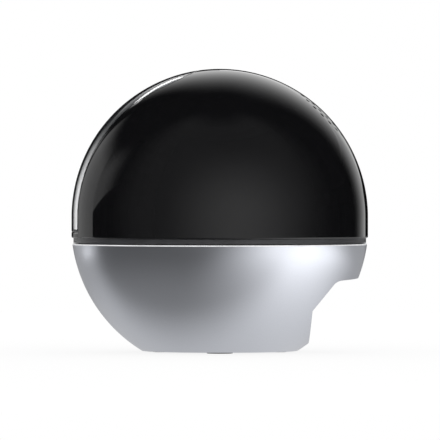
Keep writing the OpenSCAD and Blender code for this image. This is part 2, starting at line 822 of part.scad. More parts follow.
// A solid with the dome's shape, its skirt reaching down to the turntable
module dome_form(r, low = plate_top) {
  translate([0, 0, dome_cz]) difference() {
    sphere(r = r, $fn = 180);
    translate([0, 0, -big / 2]) cube(big, center = true);
  }
  translate([0, 0, low]) cylinder(r = r, h = dome_cz - low, $fn = 180);
}

module dome_wall_form(outer, inner) {
  difference() {
    dome_form(outer);
    dome_form(inner, plate_top - 1);
  }
}

// The window's space, grown by d on every side
module window_space(d) {
  w = window_w / 2 + d;
  intersection() {
    translate([0, 0, dome_cz]) rotate([90 - window_top, 0, 0]) {
      block([-w, -big, -big], [w, 0, big]);
      cylinder(r = w, h = big);
    }
    block([-big, -big, window_z - d], [big, big, big]);
  }
}

// Turns +Z to the grille's direction, from the dome's middle
module to_grille() translate([0, 0, dome_cz]) rotate([-(90 - grille_elev), 0, 0]) children();

module dome() {
  rows = floor(grille_h / 2 / (grille_pitch * sqrt(3) / 2));
  color("#101113") {
    difference() {
      union() {
        dome_wall_form(dome_r, dome_in);
        // Screw bosses with their ribs
        intersection() {
          dome_form(dome_r - dome_wall / 2);
          round_at(dome_boss_angles, dome_boss_ring) {
            disc(dome_boss_r, dome_boss_h, plate_top);
            block([0, -1, plate_top], [8, 1, plate_top + dome_boss_h]);
          }
        }
        // Bosses for the speaker's bracket
        intersection() {
          dome_form(dome_r - dome_wall / 2);
          to_grille() for (s = [-1, 1]) translate([s * speaker_ear, 0, 0]) disc(2.3, big, ear_seat);
        }
      }
      window_space(0);
      // Bevel along the lower edge
      translate([0, 0, plate_top]) difference() {
        disc(dome_r + 1, dome_bevel, -eps);
        translate([0, 0, -eps]) cylinder(r1 = dome_r - dome_bevel, r2 = dome_r, h = dome_bevel);
      }
      round_at(dome_boss_angles, dome_boss_ring) disc(1.2 + fit, dome_boss_h - 1.5, plate_top - 1);
      to_grille() {
        for (s = [-1, 1]) translate([s * speaker_ear, 0, 0]) disc(0.9 + fit, 3.6, ear_seat - 1);
        for (j = [-rows : rows]) {
          y = j * grille_pitch * sqrt(3) / 2;
          for (i = [-12 : 12]) {
            x = (i + (j % 2 == 0 ? 0 : 0.5)) * grille_pitch;
            if (pow(x / (grille_w / 2), 2) + pow(y / (grille_h / 2 + 2), 2) <= 1)
              translate([x, y, dome_in - 12]) cylinder(r = grille_hole / 2, h = 20, $fn = 24);
          }
        }
      }
    }
  }
}

module dome_screws() {
  color("#6d7076") round_at(dome_boss_angles, dome_boss_ring) translate([0, 0, plate_z])
    mirror([0, 0, 1]) screw(2.1, 1.2, 1.2, turntable_t + dome_boss_h - 3.5);
}

module front_window() {
  color("#2c2f34") intersection() {
    dome_wall_form(dome_r, dome_in);
    window_space(-window_gap);
  }
}

module window_gasket() {
  color("#1b1c1e") difference() {
    intersection() {
      dome_wall_form(dome_in - skin_fit, dome_in - skin_fit - gasket_t);
      window_space(gasket_lap);
    }
    window_space(-gasket_lap);
  }
}

module speaker_mesh() {
  color("#17181a") intersection() {
    dome_wall_form(dome_in - skin_fit, dome_in - skin_fit - mesh_t);
    to_grille() disc(speaker_r + 0.5, big, 20);
  }
}

module speaker_gasket() {
  color("#3a3b3d") difference() {
    intersection() {
      dome_form(dome_in - mesh_t - 2 * skin_fit);
      to_grille() disc(speaker_r, big, speaker_face);
    }
    to_grille() disc(speaker_r - 1.6, big, 20);
  }
}

module speaker() {
  color("#55585d") to_grille() difference() {
    union() {
      disc(speaker_r, 1.4, speaker_face - 1.4);
      disc(speaker_r * 0.82, speaker_h, speaker_face - speaker_h);
    }
    // The cone, sunk into the front
    translate([0, 0, speaker_face + 15.2]) sphere(r = 17);
  }
}

module speaker_bracket() {
  low = speaker_face - speaker_h - 1.4;
  color("#43464b") to_grille() difference() {
    union() {
      disc(speaker_r * 0.82 + 1.6, ear_seat - low, low);
      block([-speaker_ear, -2.6, ear_seat - 1.6], [speaker_ear, 2.6, ear_seat]);
      for (s = [-1, 1]) translate([s * speaker_ear, 0, 0]) disc(2.6, 1.6, ear_seat - 1.6);
    }
    disc(speaker_r * 0.82 + drop_fit, big, speaker_face - speaker_h);
    disc(speaker_r * 0.5, big);
    for (s = [-1, 1]) translate([s * speaker_ear, 0, 0]) disc(0.9 + drop_fit, 4, ear_seat - 2.6);
  }
}

module speaker_screws() {
  color("#6d7076") to_grille() for (s = [-1, 1]) translate([s * speaker_ear, 0, ear_seat - 1.6])
    mirror([0, 0, 1]) screw(1.8, 1, 0.9, 3.8);
}

// Yoke and tilt drive

module yoke_arm(motor) {
  difference() {
    rotate([90, 0, 90]) translate([0, 0, arm_in]) linear_extrude(arm_t) {
      polygon([[yoke_front, plate_top + yoke_t - eps], [yoke_back - 6, plate_top + yoke_t - eps],
        [pivot_boss_r * 0.8, tilt_z + pivot_boss_r * 0.6], [-pivot_boss_r * 0.8, tilt_z + pivot_boss_r * 0.6]]);
      translate([0, tilt_z]) circle(r = pivot_boss_r);
      if (motor) {
        translate([tilt_gap, tilt_z]) {
          circle(r = tilt_motor_d / 2);
          translate([-3.4, -tilt_lug]) square([6.8, 2 * tilt_lug]);
          for (s = [-1, 1]) translate([0, s * tilt_lug]) circle(r = 3.4);
          translate([-tilt_gap, -6]) square([tilt_gap, 12]);
        }
      }
    }
    translate([0, 0, tilt_z]) bar_x(bush_r + fit, arm_in - 1, arm_t + 2);
    if (motor) translate([0, tilt_gap, tilt_z]) {
      bar_x(tilt_shaft_r + 1.4, arm_in - 1, arm_t + 2);
      for (s = [-1, 1]) translate([0, 0, s * tilt_lug]) bar_x(0.9 + fit, arm_in + 0.4, arm_t);
    }
  }
}

module yoke() {
  color("#3c3f44") difference() {
    union() {
      block([-yoke_foot_x, yoke_front, plate_top], [yoke_foot_x, yoke_back, plate_top + yoke_t]);
      yoke_arm(true);
      mirror([1, 0, 0]) yoke_arm(false);
      // Posts for the head board
      for (s = [-1, 1]) block([s * head_post_x - 2.2, head_board_y - 2.6, plate_top],
        [s * head_post_x + 2.2, head_board_y, head_board_z + head_board_h - 1]);
    }
    disc(flange_r + 0.6, big);
    for (x = [-1, 1]) for (y = [yoke_front + 3, yoke_back - 4])
      translate([x * (arm_out + 2.9), y, 0]) disc(1.2 + drop_fit, yoke_t + 2, plate_top - 1);
    for (x = [-1, 1]) for (z = [head_board_z + 3, head_board_z + head_board_h - 3])
      translate([x * head_post_x, 0, z]) bar_y(0.8 + fit, head_board_y - 2.2, 3);
  }
}

module yoke_screws() {
  color("#6d7076") for (x = [-1, 1]) for (y = [yoke_front + 3, yoke_back - 4])
    translate([x * (arm_out + 2.9), y, plate_top + yoke_t]) screw(2.1, 1.2, 1.2, yoke_t + turntable_t - 0.2);
}

module tilt_bushings() {
  color("#c9a24a") for (s = [0, 1]) mirror([s, 0, 0]) translate([0, 0, tilt_z]) difference() {
    union() {
      bar_x(bush_r + 0.6, arm_in - 0.4, 0.4);
      bar_x(bush_r, arm_in - eps, arm_t + eps);
    }
    bar_x(pin_d / 2 + turn_fit, arm_in - 1, arm_t + 2);
  }
}

module tilt_motor() {
  color("#a9adb3") translate([0, tilt_gap, tilt_z]) difference() {
    union() {
      bar_x(tilt_motor_d / 2, arm_out, tilt_motor_h);
      bar_x(tilt_shaft_r + 1.2, arm_out - 1.2, 2);
      translate([arm_out, 0, 0]) block([0, -2.8, -tilt_lug], [0.8, 2.8, tilt_lug]);
      for (s = [-1, 1]) translate([0, 0, s * tilt_lug]) bar_x(2.8, arm_out, 0.8);
    }
    bar_x(tilt_shaft_r + turn_fit, arm_out - 2, 6);
    for (s = [-1, 1]) translate([0, 0, s * tilt_lug]) bar_x(0.9 + drop_fit, arm_out - 1, 3);
  }
}

module tilt_motor_screws() {
  color("#6d7076") for (s = [-1, 1]) translate([arm_out + 0.8, tilt_gap, tilt_z + s * tilt_lug])
    rotate([0, 90, 0]) screw(1.7, 1, 0.9, arm_t);
}

module tilt_shaft() {
  color("#d9dce0") translate([0, tilt_gap, tilt_z])
    bar_x(tilt_shaft_r, tilt_gear_x + 0.2, arm_out + 3.6 - tilt_gear_x);
}

module tilt_pinion() {
  color("#e6e3da") translate([tilt_gear_x + 0.2, tilt_gap, tilt_z]) rotate([90, 0, 90]) difference() {
    rotate(180 + 180 / tilt_pn) linear_extrude(tilt_face - 0.2) gear_outline(tilt_m, tilt_pn);
    disc(tilt_shaft_r + 0.02, 20, -1);
  }
}

module head_board() {
  w = head_post_x + 4.5;
  back = head_board_y + head_board_t;
  color("#1f5c3a") difference() {
    union() {
      block([-w, head_board_y, head_board_z], [w, back, head_board_z + head_board_h]);
      block([head_plug_x - head_plug_w / 2, back - eps, head_board_z + 0.8],
        [head_plug_x + head_plug_w / 2, back + head_plug_t, head_board_z + 0.8 + head_plug_h]);
      block([head_chip_x - head_chip_w / 2, back - eps, head_chip_z],
        [head_chip_x + head_chip_w / 2, back + head_chip_t, head_chip_z + head_chip_h]);
    }
    for (x = [-1, 1]) for (z = [head_board_z + 3, head_board_z + head_board_h - 3])
      translate([x * head_post_x, 0, z]) bar_y(0.8 + drop_fit, head_board_y - 1, 8);
  }
}

module head_board_screws() {
  color("#9a9da3") for (x = [-1, 1]) for (z = [head_board_z + 3, head_board_z + head_board_h - 3])
    translate([x * head_post_x, head_board_y + 1.2, z]) rotate([-90, 0, 0]) screw(1.5, 0.9, 0.8, 3);
}

module heat_sink() {
  color("#b4b8be") translate([-sink_w / 2 - 0.5, head_board_y + 1.2, head_board_z + 7]) {
    cube([sink_w, sink_t, sink_w]);
    for (i = [0 : sink_fins - 1]) translate([i * (sink_w - sink_fin_t) / (sink_fins - 1), sink_t - eps, 0])
      cube([sink_fin_t, sink_fin_h, sink_w]);
  }
}

module microphone() {
  color("#8d9096") translate([0, 0, plate_top + mic_r + 0.3]) difference() {
    bar_y(mic_r, mic_y - 1.8, 3.4);
    bar_y(0.5, mic_y - 3, 2);
  }
}

// Eye, which tilts in the yoke

module eye_shape(r, half, wall_r = 0) intersection() {
  sphere(r = r);
  block([-half, -big, -big], [half, big, big]);
}

module eye_front() {
  color("#26282c") translate([0, 0, tilt_z]) {
    difference() {
      union() {
        difference() {
          union() {
            intersection() {
              eye_shape(eye_r, eye_w / 2);
              block([-big, -big, -big], [big, eye_split, big]);
            }
            bar_y(cup_r, -cup_reach, cup_reach - 8);
          }
          eye_shape(eye_r - eye_wall, eye_w / 2 - eye_wall);
        }
        // Posts behind the lens for the sensor board, bosses for the joint and the tilt pins
        for (x = [-1, 1]) for (z = [-1, 1]) translate([x * 7.6, 0, z * 7.6]) bar_y(1.4, -13, 13 - sensor_y);
        for (s = [-1, 1]) translate([0, 0, s * eye_screw_ring]) intersection() {
          bar_y(2, -2, eye_split + 2);
          translate([0, 0, -s * eye_screw_ring]) sphere(r = eye_r - eye_wall / 2);
        }
        for (s = [0, 1]) mirror([s, 0, 0]) bar_x(pin_d / 2 + 1.4, eye_w / 2 - eye_wall - 2.4, 3);
      }
      bar_y(cup_r - cup_wall, -cup_reach - 1, cup_reach - cup_floor + 1);
      bar_y(lens_r - 1.2 + fit, -cup_reach, cup_reach);
      for (s = [-1, 1]) translate([0, 0, s * eye_screw_ring]) bar_y(0.8 + fit, -1, 10);
      for (s = [0, 1]) mirror([s, 0, 0]) bar_x(pin_d / 2 + 0.02, eye_w / 2 - eye_wall - 4, 10);
    }
  }
}

module eye_rear() {
  color("#26282c") translate([0, 0, tilt_z]) difference() {
    intersection() {
      union() {
        difference() {
          eye_shape(eye_r, eye_w / 2);
          eye_shape(eye_r - eye_wall, eye_w / 2 - eye_wall);
        }
        for (s = [-1, 1]) translate([0, 0, s * eye_screw_ring]) intersection() {
          bar_y(2.4, eye_split, 20);
          translate([0, 0, -s * eye_screw_ring]) sphere(r = eye_r - 0.2);
        }
      }
      block([-big, eye_split, -big], [big, big, big]);
    }
    // Screw holes with sunk heads, and the opening for the sensor's ribbon
    for (s = [-1, 1]) translate([0, 0, s * eye_screw_ring]) {
      bar_y(0.8 + drop_fit, 0, 30);
      bar_y(1.5 + drop_fit, eye_split + 3, 30);
    }
    block([-4, eye_split + 4, -1], [4, 30, 1]);
  }
}

module eye_screws() {
  color("#9a9da3") for (s = [-1, 1]) translate([0, eye_split + 3, tilt_z + s * eye_screw_ring])
    rotate([-90, 0, 0]) screw(1.5, 0.9, 0.8, 6.4);
}

module tilt_pins() {
  color("#c4c8ce") translate([0, 0, tilt_z]) for (s = [0, 1]) mirror([s, 0, 0])
    bar_x(pin_d / 2, eye_w / 2 - eye_wall - 2.4, arm_out - eye_w / 2 + eye_wall + 2.4);
}

module tilt_gear() {
  color("#e6e3da") translate([tilt_gear_x, 0, tilt_z]) rotate([90, 0, 90]) difference() {
    linear_extrude(tilt_face) gear_outline(tilt_m, tilt_n);
    disc(pin_d / 2 + 0.02, 20, -1);
    for (a = [60 : 60 : 360]) rotate(a) translate([7, 0, -1]) cylinder(r = 1.5, h = 20);
  }
}

module lens_barrel() {
  color("#1a1b1e") translate([0, 0, tilt_z]) difference() {
    union() {
      bar_y(lens_r - 1.2, -cup_floor - 1, cup_floor + 1 - lens_tail);
      bar_y(lens_r, -lens_reach, lens_reach - cup_floor);
    }
    bar_y(3.4, -lens_reach, lens_reach);
    bar_y(glass_r + fit, -lens_reach - 1, 6);
    translate([0, -lens_reach - eps, 0]) rotate([-90, 0, 0])
      cylinder(r1 = lens_r - 0.6, r2 = glass_r, h = 1.2);
  }
}

module lens_glass() {
  front_r = 9;
  color("#33415c") translate([0, 0, tilt_z]) intersection() {
    bar_y(glass_r, -lens_reach + 1.2, 3.8);
    translate([0, -lens_reach + 1.4 + front_r, 0]) sphere(r = front_r);
  }
}

module sensor_and_lamps() {
  // Sensor board behind the lens, and the ring board with its lamps in the cup
  color("#1f5c3a") translate([0, 0, tilt_z]) {
    block([-sensor_half, -sensor_y, -sensor_half], [sensor_half, -sensor_y + sensor_t, sensor_half]);
    block([-3, -sensor_y - 1, -3], [3, -sensor_y, 3]);
    difference() {
      union() {
        bar_y(cup_r - cup_wall - drop_fit, -cup_floor - 1, 1);
        for (i = [0 : lamp_n - 1]) rotate([0, 360 * i / lamp_n, 0]) translate([lamp_ring, 0, 0]) {
          bar_y(lamp_d / 2, -cup_floor - 2.6, 2);
          translate([0, -cup_floor - 2.6, 0]) sphere(r = lamp_d / 2, $fn = 32);
        }
      }
      bar_y(lens_r + drop_fit, -cup_floor - 6, 10);
    }
  }
}

base_shell();
base_cover();
foot_pads();
tripod_insert();
ballast_plate();
cover_screws();
main_board();
board_screws();
power_socket();
card_socket();
memory_card();
reset_button();
reset_switch();
shield_can();
capacitors();
slip_ring_core();
pan_motor();
motor_screws();
motor_lead();
bearing_frame();
frame_screws();
bearing_outer_ring();
bearing_balls();
bearing_cage();
pan_shaft();
pan_pinion();
turntable();
bearing_inner_ring();
hub_nut();
pan_gear();
gear_screws();
slip_ring_case();
dome();
dome_screws();
front_window();
window_gasket();
speaker_mesh();
speaker_gasket();
speaker();
speaker_bracket();
speaker_screws();
yoke();
yoke_screws();
tilt_bushings();
tilt_motor();
tilt_motor_screws();
tilt_shaft();
tilt_pinion();
head_board();
head_board_screws();
heat_sink();
microphone();
eye_front();
eye_rear();
eye_screws();
tilt_pins();
tilt_gear();
lens_barrel();
lens_glass();
sensor_and_lamps();
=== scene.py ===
import math

import bmesh
import bpy
from bpy.props import FloatProperty, FloatVectorProperty, IntProperty, PointerProperty
from bpy.types import Operator, Panel, PropertyGroup
from mathutils import Matrix, Vector


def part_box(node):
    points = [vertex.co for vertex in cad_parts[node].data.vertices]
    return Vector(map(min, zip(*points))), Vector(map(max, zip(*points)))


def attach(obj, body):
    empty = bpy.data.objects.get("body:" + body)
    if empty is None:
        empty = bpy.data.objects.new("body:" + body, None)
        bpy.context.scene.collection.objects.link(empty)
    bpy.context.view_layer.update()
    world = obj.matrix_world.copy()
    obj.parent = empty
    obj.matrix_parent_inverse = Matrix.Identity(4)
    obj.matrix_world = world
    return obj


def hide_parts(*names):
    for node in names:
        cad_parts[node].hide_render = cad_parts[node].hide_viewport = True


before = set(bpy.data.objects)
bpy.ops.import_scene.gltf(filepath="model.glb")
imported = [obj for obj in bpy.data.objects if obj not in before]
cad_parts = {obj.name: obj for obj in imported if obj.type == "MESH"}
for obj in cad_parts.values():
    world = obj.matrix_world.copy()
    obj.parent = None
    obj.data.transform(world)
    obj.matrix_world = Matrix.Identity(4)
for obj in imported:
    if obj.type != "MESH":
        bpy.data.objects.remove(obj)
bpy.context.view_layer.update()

bl_info = {
    "name": "Desk Camera Builder",
    "version": (1, 0, 0),
    "blender": (4, 5, 0),
    "location": "View3D > Sidebar > Desk Camera",
    "description": "Builds a ball-shaped indoor security camera with a turning head and a tilting eye",
    "category": "Add Mesh",
}

MM = 0.001

DOME_LOW, DOME_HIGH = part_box("dome")
BASE_LOW, BASE_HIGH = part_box("base_shell")
WINDOW_LOW, WINDOW_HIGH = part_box("front_window")
COVER_LOW, COVER_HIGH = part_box("base_cover")
INSERT_LOW, INSERT_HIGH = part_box("tripod_insert")
BARREL_LOW, BARREL_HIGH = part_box("lens_barrel")
SOCKET_LOW, SOCKET_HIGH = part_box("power_socket")
CARD_LOW, CARD_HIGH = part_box("memory_card")
BUTTON_LOW, BUTTON_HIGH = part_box("reset_button")

DOME_RADIUS = DOME_HIGH.x
DOME_CENTRE_Z = DOME_HIGH.z - DOME_RADIUS
# How far a cut reaches past the skin that it takes an edge off, so that no two faces fall together.
OVERLAP = 0.004 * MM


class CameraSizes(PropertyGroup):
    """Sizes of the pieces that are modelled here, in metres."""

    dome_wall: FloatProperty(
        name="Dome wall", description="Wall of the dome and of the window",
        default=2.4 * MM, unit="LENGTH")
    dome_edge: FloatProperty(
        name="Dome edge", description="Rounding of the dome's lower edge",
        default=0.6 * MM, unit="LENGTH")
    seam_radius: FloatProperty(
        name="Seam groove", description="Radius of the groove between the window and the dome",
        default=0.28 * MM, unit="LENGTH")
    window_elevation: FloatProperty(
        name="Window end", description="Elevation of the middle of the window's round end",
        default=math.radians(64), subtype="ANGLE", unit="ROTATION")
    window_gap: FloatProperty(
        name="Window gap", description="Gap between the window and the dome",
        default=0.12 * MM, unit="LENGTH")
    grille_elevation: FloatProperty(
        name="Grille elevation", description="Elevation of the middle of the grille",
        default=math.radians(45), subtype="ANGLE", unit="ROTATION")
    grille_rings: IntProperty(
        name="Grille rings", description="Rings of holes round the grille's middle hole", default=4)
    grille_pitch: FloatProperty(
        name="Ring pitch", description="Distance from one ring of holes to the next",
        default=2.95 * MM, unit="LENGTH")
    grille_spacing: FloatProperty(
        name="Hole spacing", description="Spacing of the holes along a ring",
        default=3.65 * MM, unit="LENGTH")
    grille_hole: FloatProperty(
        name="Grille hole", description="Diameter of a hole",
        default=1.6 * MM, unit="LENGTH")
    grille_edge: FloatProperty(
        name="Hole edge", description="Rounding of the mouth of a grille hole",
        default=0.08 * MM, unit="LENGTH")
    base_wall: FloatProperty(
        name="Base wall", description="Wall of the base shell", default=2.2 * MM, unit="LENGTH")
    base_foot: FloatProperty(
        name="Base foot", description="Radius of the base's flat underside",
        default=26.7 * MM, unit="LENGTH")
    base_inset: FloatProperty(
        name="Base inset", description="How far the base's top edge lies inside the dome's radius",
        default=0.28 * MM, unit="LENGTH")
    top_edge: FloatProperty(
        name="Upper edge", description="Rounding of the base's upper edge",
        default=0.42 * MM, unit="LENGTH")
    foot_round: FloatProperty(
        name="Lower edge", description="Rounding of the base's lower edge",
        default=1.1 * MM, unit="LENGTH")
    edge_round: FloatProperty(
        name="Notch edge", description="Rounding of the edges of the rear notch",
        default=0.55 * MM, unit="LENGTH")
    thread_pitch: FloatProperty(
        name="Thread pitch", description="Pitch of the tripod thread", default=1.27 * MM, unit="LENGTH")


class CameraNotch(PropertyGroup):
    """Sizes of the stepped notch at the rear of the base."""

    port_y: FloatProperty(
        name="Socket wall", description="Distance of the socket wall's foot from the axis",
        default=30.3 * MM, unit="LENGTH")
    port_lean: FloatProperty(
        name="Wall lean", description="How far the socket wall leans out over its height",
        default=1.3 * MM, unit="LENGTH")
    port_top: FloatProperty(
        name="Wall height", description="Height of the socket wall above the base's underside",
        default=14.2 * MM, unit="LENGTH")
    slope: FloatProperty(
        name="Slope", description="Slope of the wall above the sockets",
        default=math.radians(50.6), subtype="ANGLE", unit="ROTATION")
    overhang_z: FloatProperty(
        name="Overhang", description="Height of the overhang's root above the base's underside",
        default=24.4 * MM, unit="LENGTH")
    overhang_slope: FloatProperty(
        name="Overhang slope", description="Slope of the overhang's underside",
        default=math.radians(4), subtype="ANGLE", unit="ROTATION")
    corner: FloatProperty(
        name="Inner corner", description="Radius in the corner under the overhang",
        default=4 * MM, unit="LENGTH")
    skin: FloatProperty(
        name="Skin", description="Wall behind the notch", default=1.6 * MM, unit="LENGTH")


class CameraColours(PropertyGroup):
    """Colours of the finishes."""

    dome: FloatVectorProperty(
        name="Dome", description="Polished black shell", subtype="COLOR", default=(0.004, 0.004, 0.0045))
    silver: FloatVectorProperty(
        name="Base", description="Metallic silver paint", subtype="COLOR", default=(0.66, 0.68, 0.735))
    smoke: FloatVectorProperty(
        name="Window", description="Smoke tint of the window", subtype="COLOR", default=(0.30, 0.31, 0.33))
    dark_plastic: FloatVectorProperty(
        name="Dark plastic", description="Moulded inner parts", subtype="COLOR",
        default=(0.025, 0.026, 0.029))
    rim: FloatVectorProperty(
        name="Turntable", description="Dark grey turntable", subtype="COLOR", default=(0.035, 0.036, 0.04))
    rubber: FloatVectorProperty(
        name="Rubber", description="Feet and gaskets", subtype="COLOR", default=(0.018, 0.018, 0.019))
    steel: FloatVectorProperty(
        name="Steel", description="Zinc-plated steel", subtype="COLOR", default=(0.56, 0.57, 0.59))
    brass: FloatVectorProperty(
        name="Brass", description="Machined brass", subtype="COLOR", default=(0.68, 0.50, 0.20))
    nylon: FloatVectorProperty(
        name="Nylon", description="Natural nylon gears", subtype="COLOR", default=(0.74, 0.72, 0.66))
    board: FloatVectorProperty(
        name="Board", description="Green solder mask", subtype="COLOR", default=(0.012, 0.11, 0.045))


# Finishes

class Nodes:
    """A node tree under construction, with short calls for the nodes that it needs."""

    def __init__(self, tree):
        self.tree = tree

    def set(self, node, socket, value):
        node.inputs[socket].default_value = value

    def add(self, kind, **values):
        node = self.tree.nodes.new(kind)
        for name, value in values.items():
            setattr(node, name, value)
        return node

    def link(self, source, target):
        self.tree.links.new(source, target)

    def feed(self, value, target):
        """Links an output to an input, or sets the input to a number."""
        if isinstance(value, bpy.types.NodeSocket):
            self.link(value, target)
        else:
            target.default_value = value

    def ramp(self, value, low, high, start=0.0, end=1.0, smooth=False):
        """Turns the range start to end of a value into low to high."""
        node = self.add("ShaderNodeMapRange", interpolation_type="SMOOTHSTEP" if smooth else "LINEAR")
        for socket, number in zip(("From Min", "From Max", "To Min", "To Max"), (start, end, low, high)):
            self.set(node, socket, number)
        self.link(value, node.inputs["Value"])
        return node.outputs["Result"]

    def maths(self, operation, a, b):
        node = self.add("ShaderNodeMath", operation=operation)
        self.feed(a, node.inputs[0])
        self.feed(b, node.inputs[1])
        return node.outputs["Value"]

    def mixed(self, share, first, second):
        node = self.add("ShaderNodeMixShader")
        for index, source in enumerate((share, first, second)):
            self.link(source, node.inputs[index])
        return node.outputs["Shader"]


class Finish(Nodes):
    """A finish of the camera on the usual shader, with the textures that vary it."""

    def __init__(self, name, colour, roughness=0.5, metallic=0.0, **sockets):
        self.material = bpy.data.materials.new(name)
        self.material.use_nodes = True
        super().__init__(self.material.node_tree)
        self.shader = self.tree.nodes["Principled BSDF"]
        self.set(self.shader, "Base Color", (*colour, 1.0))
        self.set(self.shader, "Roughness", roughness)
        self.set(self.shader, "Metallic", metallic)
        for socket, value in sockets.items():
            self.set(self.shader, socket.replace("_", " ").title().replace("Ior", "IOR"), value)
        self.material.diffuse_color = (*colour, 1.0)
        self.place = self.add("ShaderNodeTexCoord").outputs["Object"]

    def noise(self, size, detail=3.0, stretch=(1, 1, 1)):
        """Noise whose features are about size metres across; stretch draws them out along an axis."""
        mapping = self.add("ShaderNodeMapping")
        self.set(mapping, "Scale", tuple(1 / s for s in stretch))
        self.link(self.place, mapping.inputs["Vector"])
        node = self.add("ShaderNodeTexNoise")
        self.set(node, "Scale", 1 / size)
        self.set(node, "Detail", detail)
        self.link(mapping.outputs["Vector"], node.inputs["Vector"])
        return node.outputs["Fac"]

    def cells(self, size, feature="F1"):
        """Distances within a pattern of cells about size metres across."""
        node = self.add("ShaderNodeTexVoronoi", feature=feature)
        self.set(node, "Scale", 1 / size)
        self.link(self.place, node.inputs["Vector"])
        return node.outputs["Distance"]

    def vary_roughness(self, value, low, high, start=0.3, end=0.7):
        self.link(self.ramp(value, low, high, start, end), self.shader.inputs["Roughness"])

    def vary_colour(self, value, dark, light, start=0.3, end=0.7):
        mix = self.add("ShaderNodeMix", data_type="RGBA")
        colours = [socket for socket in mix.inputs if socket.type == "RGBA"]
        colours[0].default_value = (*dark, 1.0)
        colours[1].default_value = (*light, 1.0)
        self.link(self.ramp(value, 0.0, 1.0, start, end), mix.inputs["Factor"])
        output = [socket for socket in mix.outputs if socket.type == "RGBA"][0]
        self.link(output, self.shader.inputs["Base Color"])

    def mottle(self, colour, size, dark, light):
        """Lets the colour drift over patches about size metres across, between two shares of itself."""
        self.vary_colour(self.noise(size), scaled(colour, dark), scaled(colour, light))

    def bump(self, height, strength, distance):
        node = self.add("ShaderNodeBump")
        self.set(node, "Strength", strength)
        self.set(node, "Distance", distance)
        self.link(height, node.inputs["Height"])
        self.link(node.outputs["Normal"], self.shader.inputs["Normal"])


def scaled(colour, factor):
    """A colour made darker or lighter."""
    return tuple(min(1.0, channel * factor) for channel in colour)


def piano_black(colour):
    finish = Finish("piano_black", colour, roughness=0.02, specular_ior_level=0.5)
    smudge = finish.noise(14 * MM, detail=2)
    finish.vary_roughness(smudge, 0.012, 0.03)
    finish.bump(finish.noise(9 * MM, detail=1), 0.02, 0.05 * MM)
    return finish.material


def metallic_silver(colour):
    finish = Finish("metallic_silver", colour, roughness=0.3, metallic=1.0)
    grain = finish.ramp(finish.cells(0.16 * MM), 0.0, 1.0, 0.1, 0.7)
    finish.vary_colour(grain, scaled(colour, 0.96), scaled(colour, 1.03), 0.0, 1.0)
    finish.vary_roughness(finish.noise(11 * MM, detail=2), 0.28, 0.32)
    finish.bump(grain, 0.05, 0.01 * MM)
    return finish.material


def smoked_plastic(colour):
    """Clear plastic with a dye: the tint deepens with the way that light takes through it."""
    finish = Finish("smoked_plastic", (1.0, 1.0, 1.0), roughness=0.01, ior=1.49, transmission_weight=1.0)
    finish.vary_roughness(finish.noise(16 * MM, detail=2), 0.004, 0.014)
    dye = finish.add("ShaderNodeVolumeAbsorption")
    finish.set(dye, "Color", (*colour, 1.0))
    finish.set(dye, "Density", 700.0)
    finish.link(dye.outputs["Volume"], finish.tree.nodes["Material Output"].inputs["Volume"])
    return finish.material


def moulded_plastic(name, colour, roughness=0.5):
    finish = Finish(name, colour, roughness=roughness)
    grain = finish.noise(0.35 * MM, detail=2)
    finish.mottle(colour, 6 * MM, 0.9, 1.12)
    finish.vary_roughness(grain, roughness - 0.05, roughness + 0.07)
    finish.bump(grain, 0.25, 0.03 * MM)
    return finish.material


def soft_rubber(name, colour):
    finish = Finish(name, colour, roughness=0.82, specular_ior_level=0.35)
    grain = finish.noise(0.25 * MM, detail=4)
    finish.mottle(colour, 3 * MM, 0.8, 1.35)
    finish.bump(grain, 0.4, 0.04 * MM)
    return finish.material


def plated_steel(name, colour, roughness=0.3):
    finish = Finish(name, colour, roughness=roughness, metallic=1.0)
    grain = finish.noise(0.4 * MM, detail=3, stretch=(1, 6, 1))
    finish.mottle(colour, 4 * MM, 0.88, 1.06)
    finish.vary_roughness(grain, roughness - 0.07, roughness + 0.1)
    finish.bump(grain, 0.08, 0.01 * MM)
    return finish.material


def turned_metal(name, colour, roughness=0.2):
    """Metal turned on a lathe about a vertical axis, with fine rings."""
    finish = Finish(name, colour, roughness=roughness, metallic=1.0)
    rings = finish.noise(0.25 * MM, detail=2, stretch=(12, 12, 1))
    finish.vary_roughness(rings, roughness - 0.06, roughness + 0.1)
    finish.mottle(colour, 5 * MM, 0.85, 1.05)
    finish.bump(rings, 0.06, 0.01 * MM)
    return finish.material


def natural_nylon(colour):
    finish = Finish("natural_nylon", colour, roughness=0.42, subsurface_weight=0.15,
                    subsurface_scale=1.5 * MM)
    finish.mottle(colour, 5 * MM, 0.94, 1.04)
    finish.bump(finish.noise(0.5 * MM), 0.08, 0.02 * MM)
    return finish.material


def circuit_board(colour):
    """Solder mask with the faint relief of straight tracks under it."""
    finish = Finish("circuit_board", colour, roughness=0.32)
    line = finish.ramp(finish.cells(2.2 * MM, feature="DISTANCE_TO_EDGE"), 1.0, 0.0, 0.04, 0.07)
    finish.vary_colour(line, colour, scaled(colour, 1.9), 0.0, 1.0)
    finish.bump(line, 0.3, 0.03 * MM)
    return finish.material


def woven_mesh():
    finish = Finish("woven_mesh", (0.012, 0.012, 0.013), roughness=0.8)
    threads = []
    for axis in ("X", "Y"):
        wave = finish.add("ShaderNodeTexWave", bands_direction=axis)
        finish.set(wave, "Scale", 1 / (1.6 * MM))
        finish.link(finish.place, wave.inputs["Vector"])
        threads.append(wave.outputs["Fac"])
    weave = finish.maths("MULTIPLY", *threads)
    finish.vary_colour(weave, (0.004, 0.004, 0.004), (0.03, 0.03, 0.032), 0.0, 1.0)
    finish.bump(weave, 0.6, 0.08 * MM)
    return finish.material


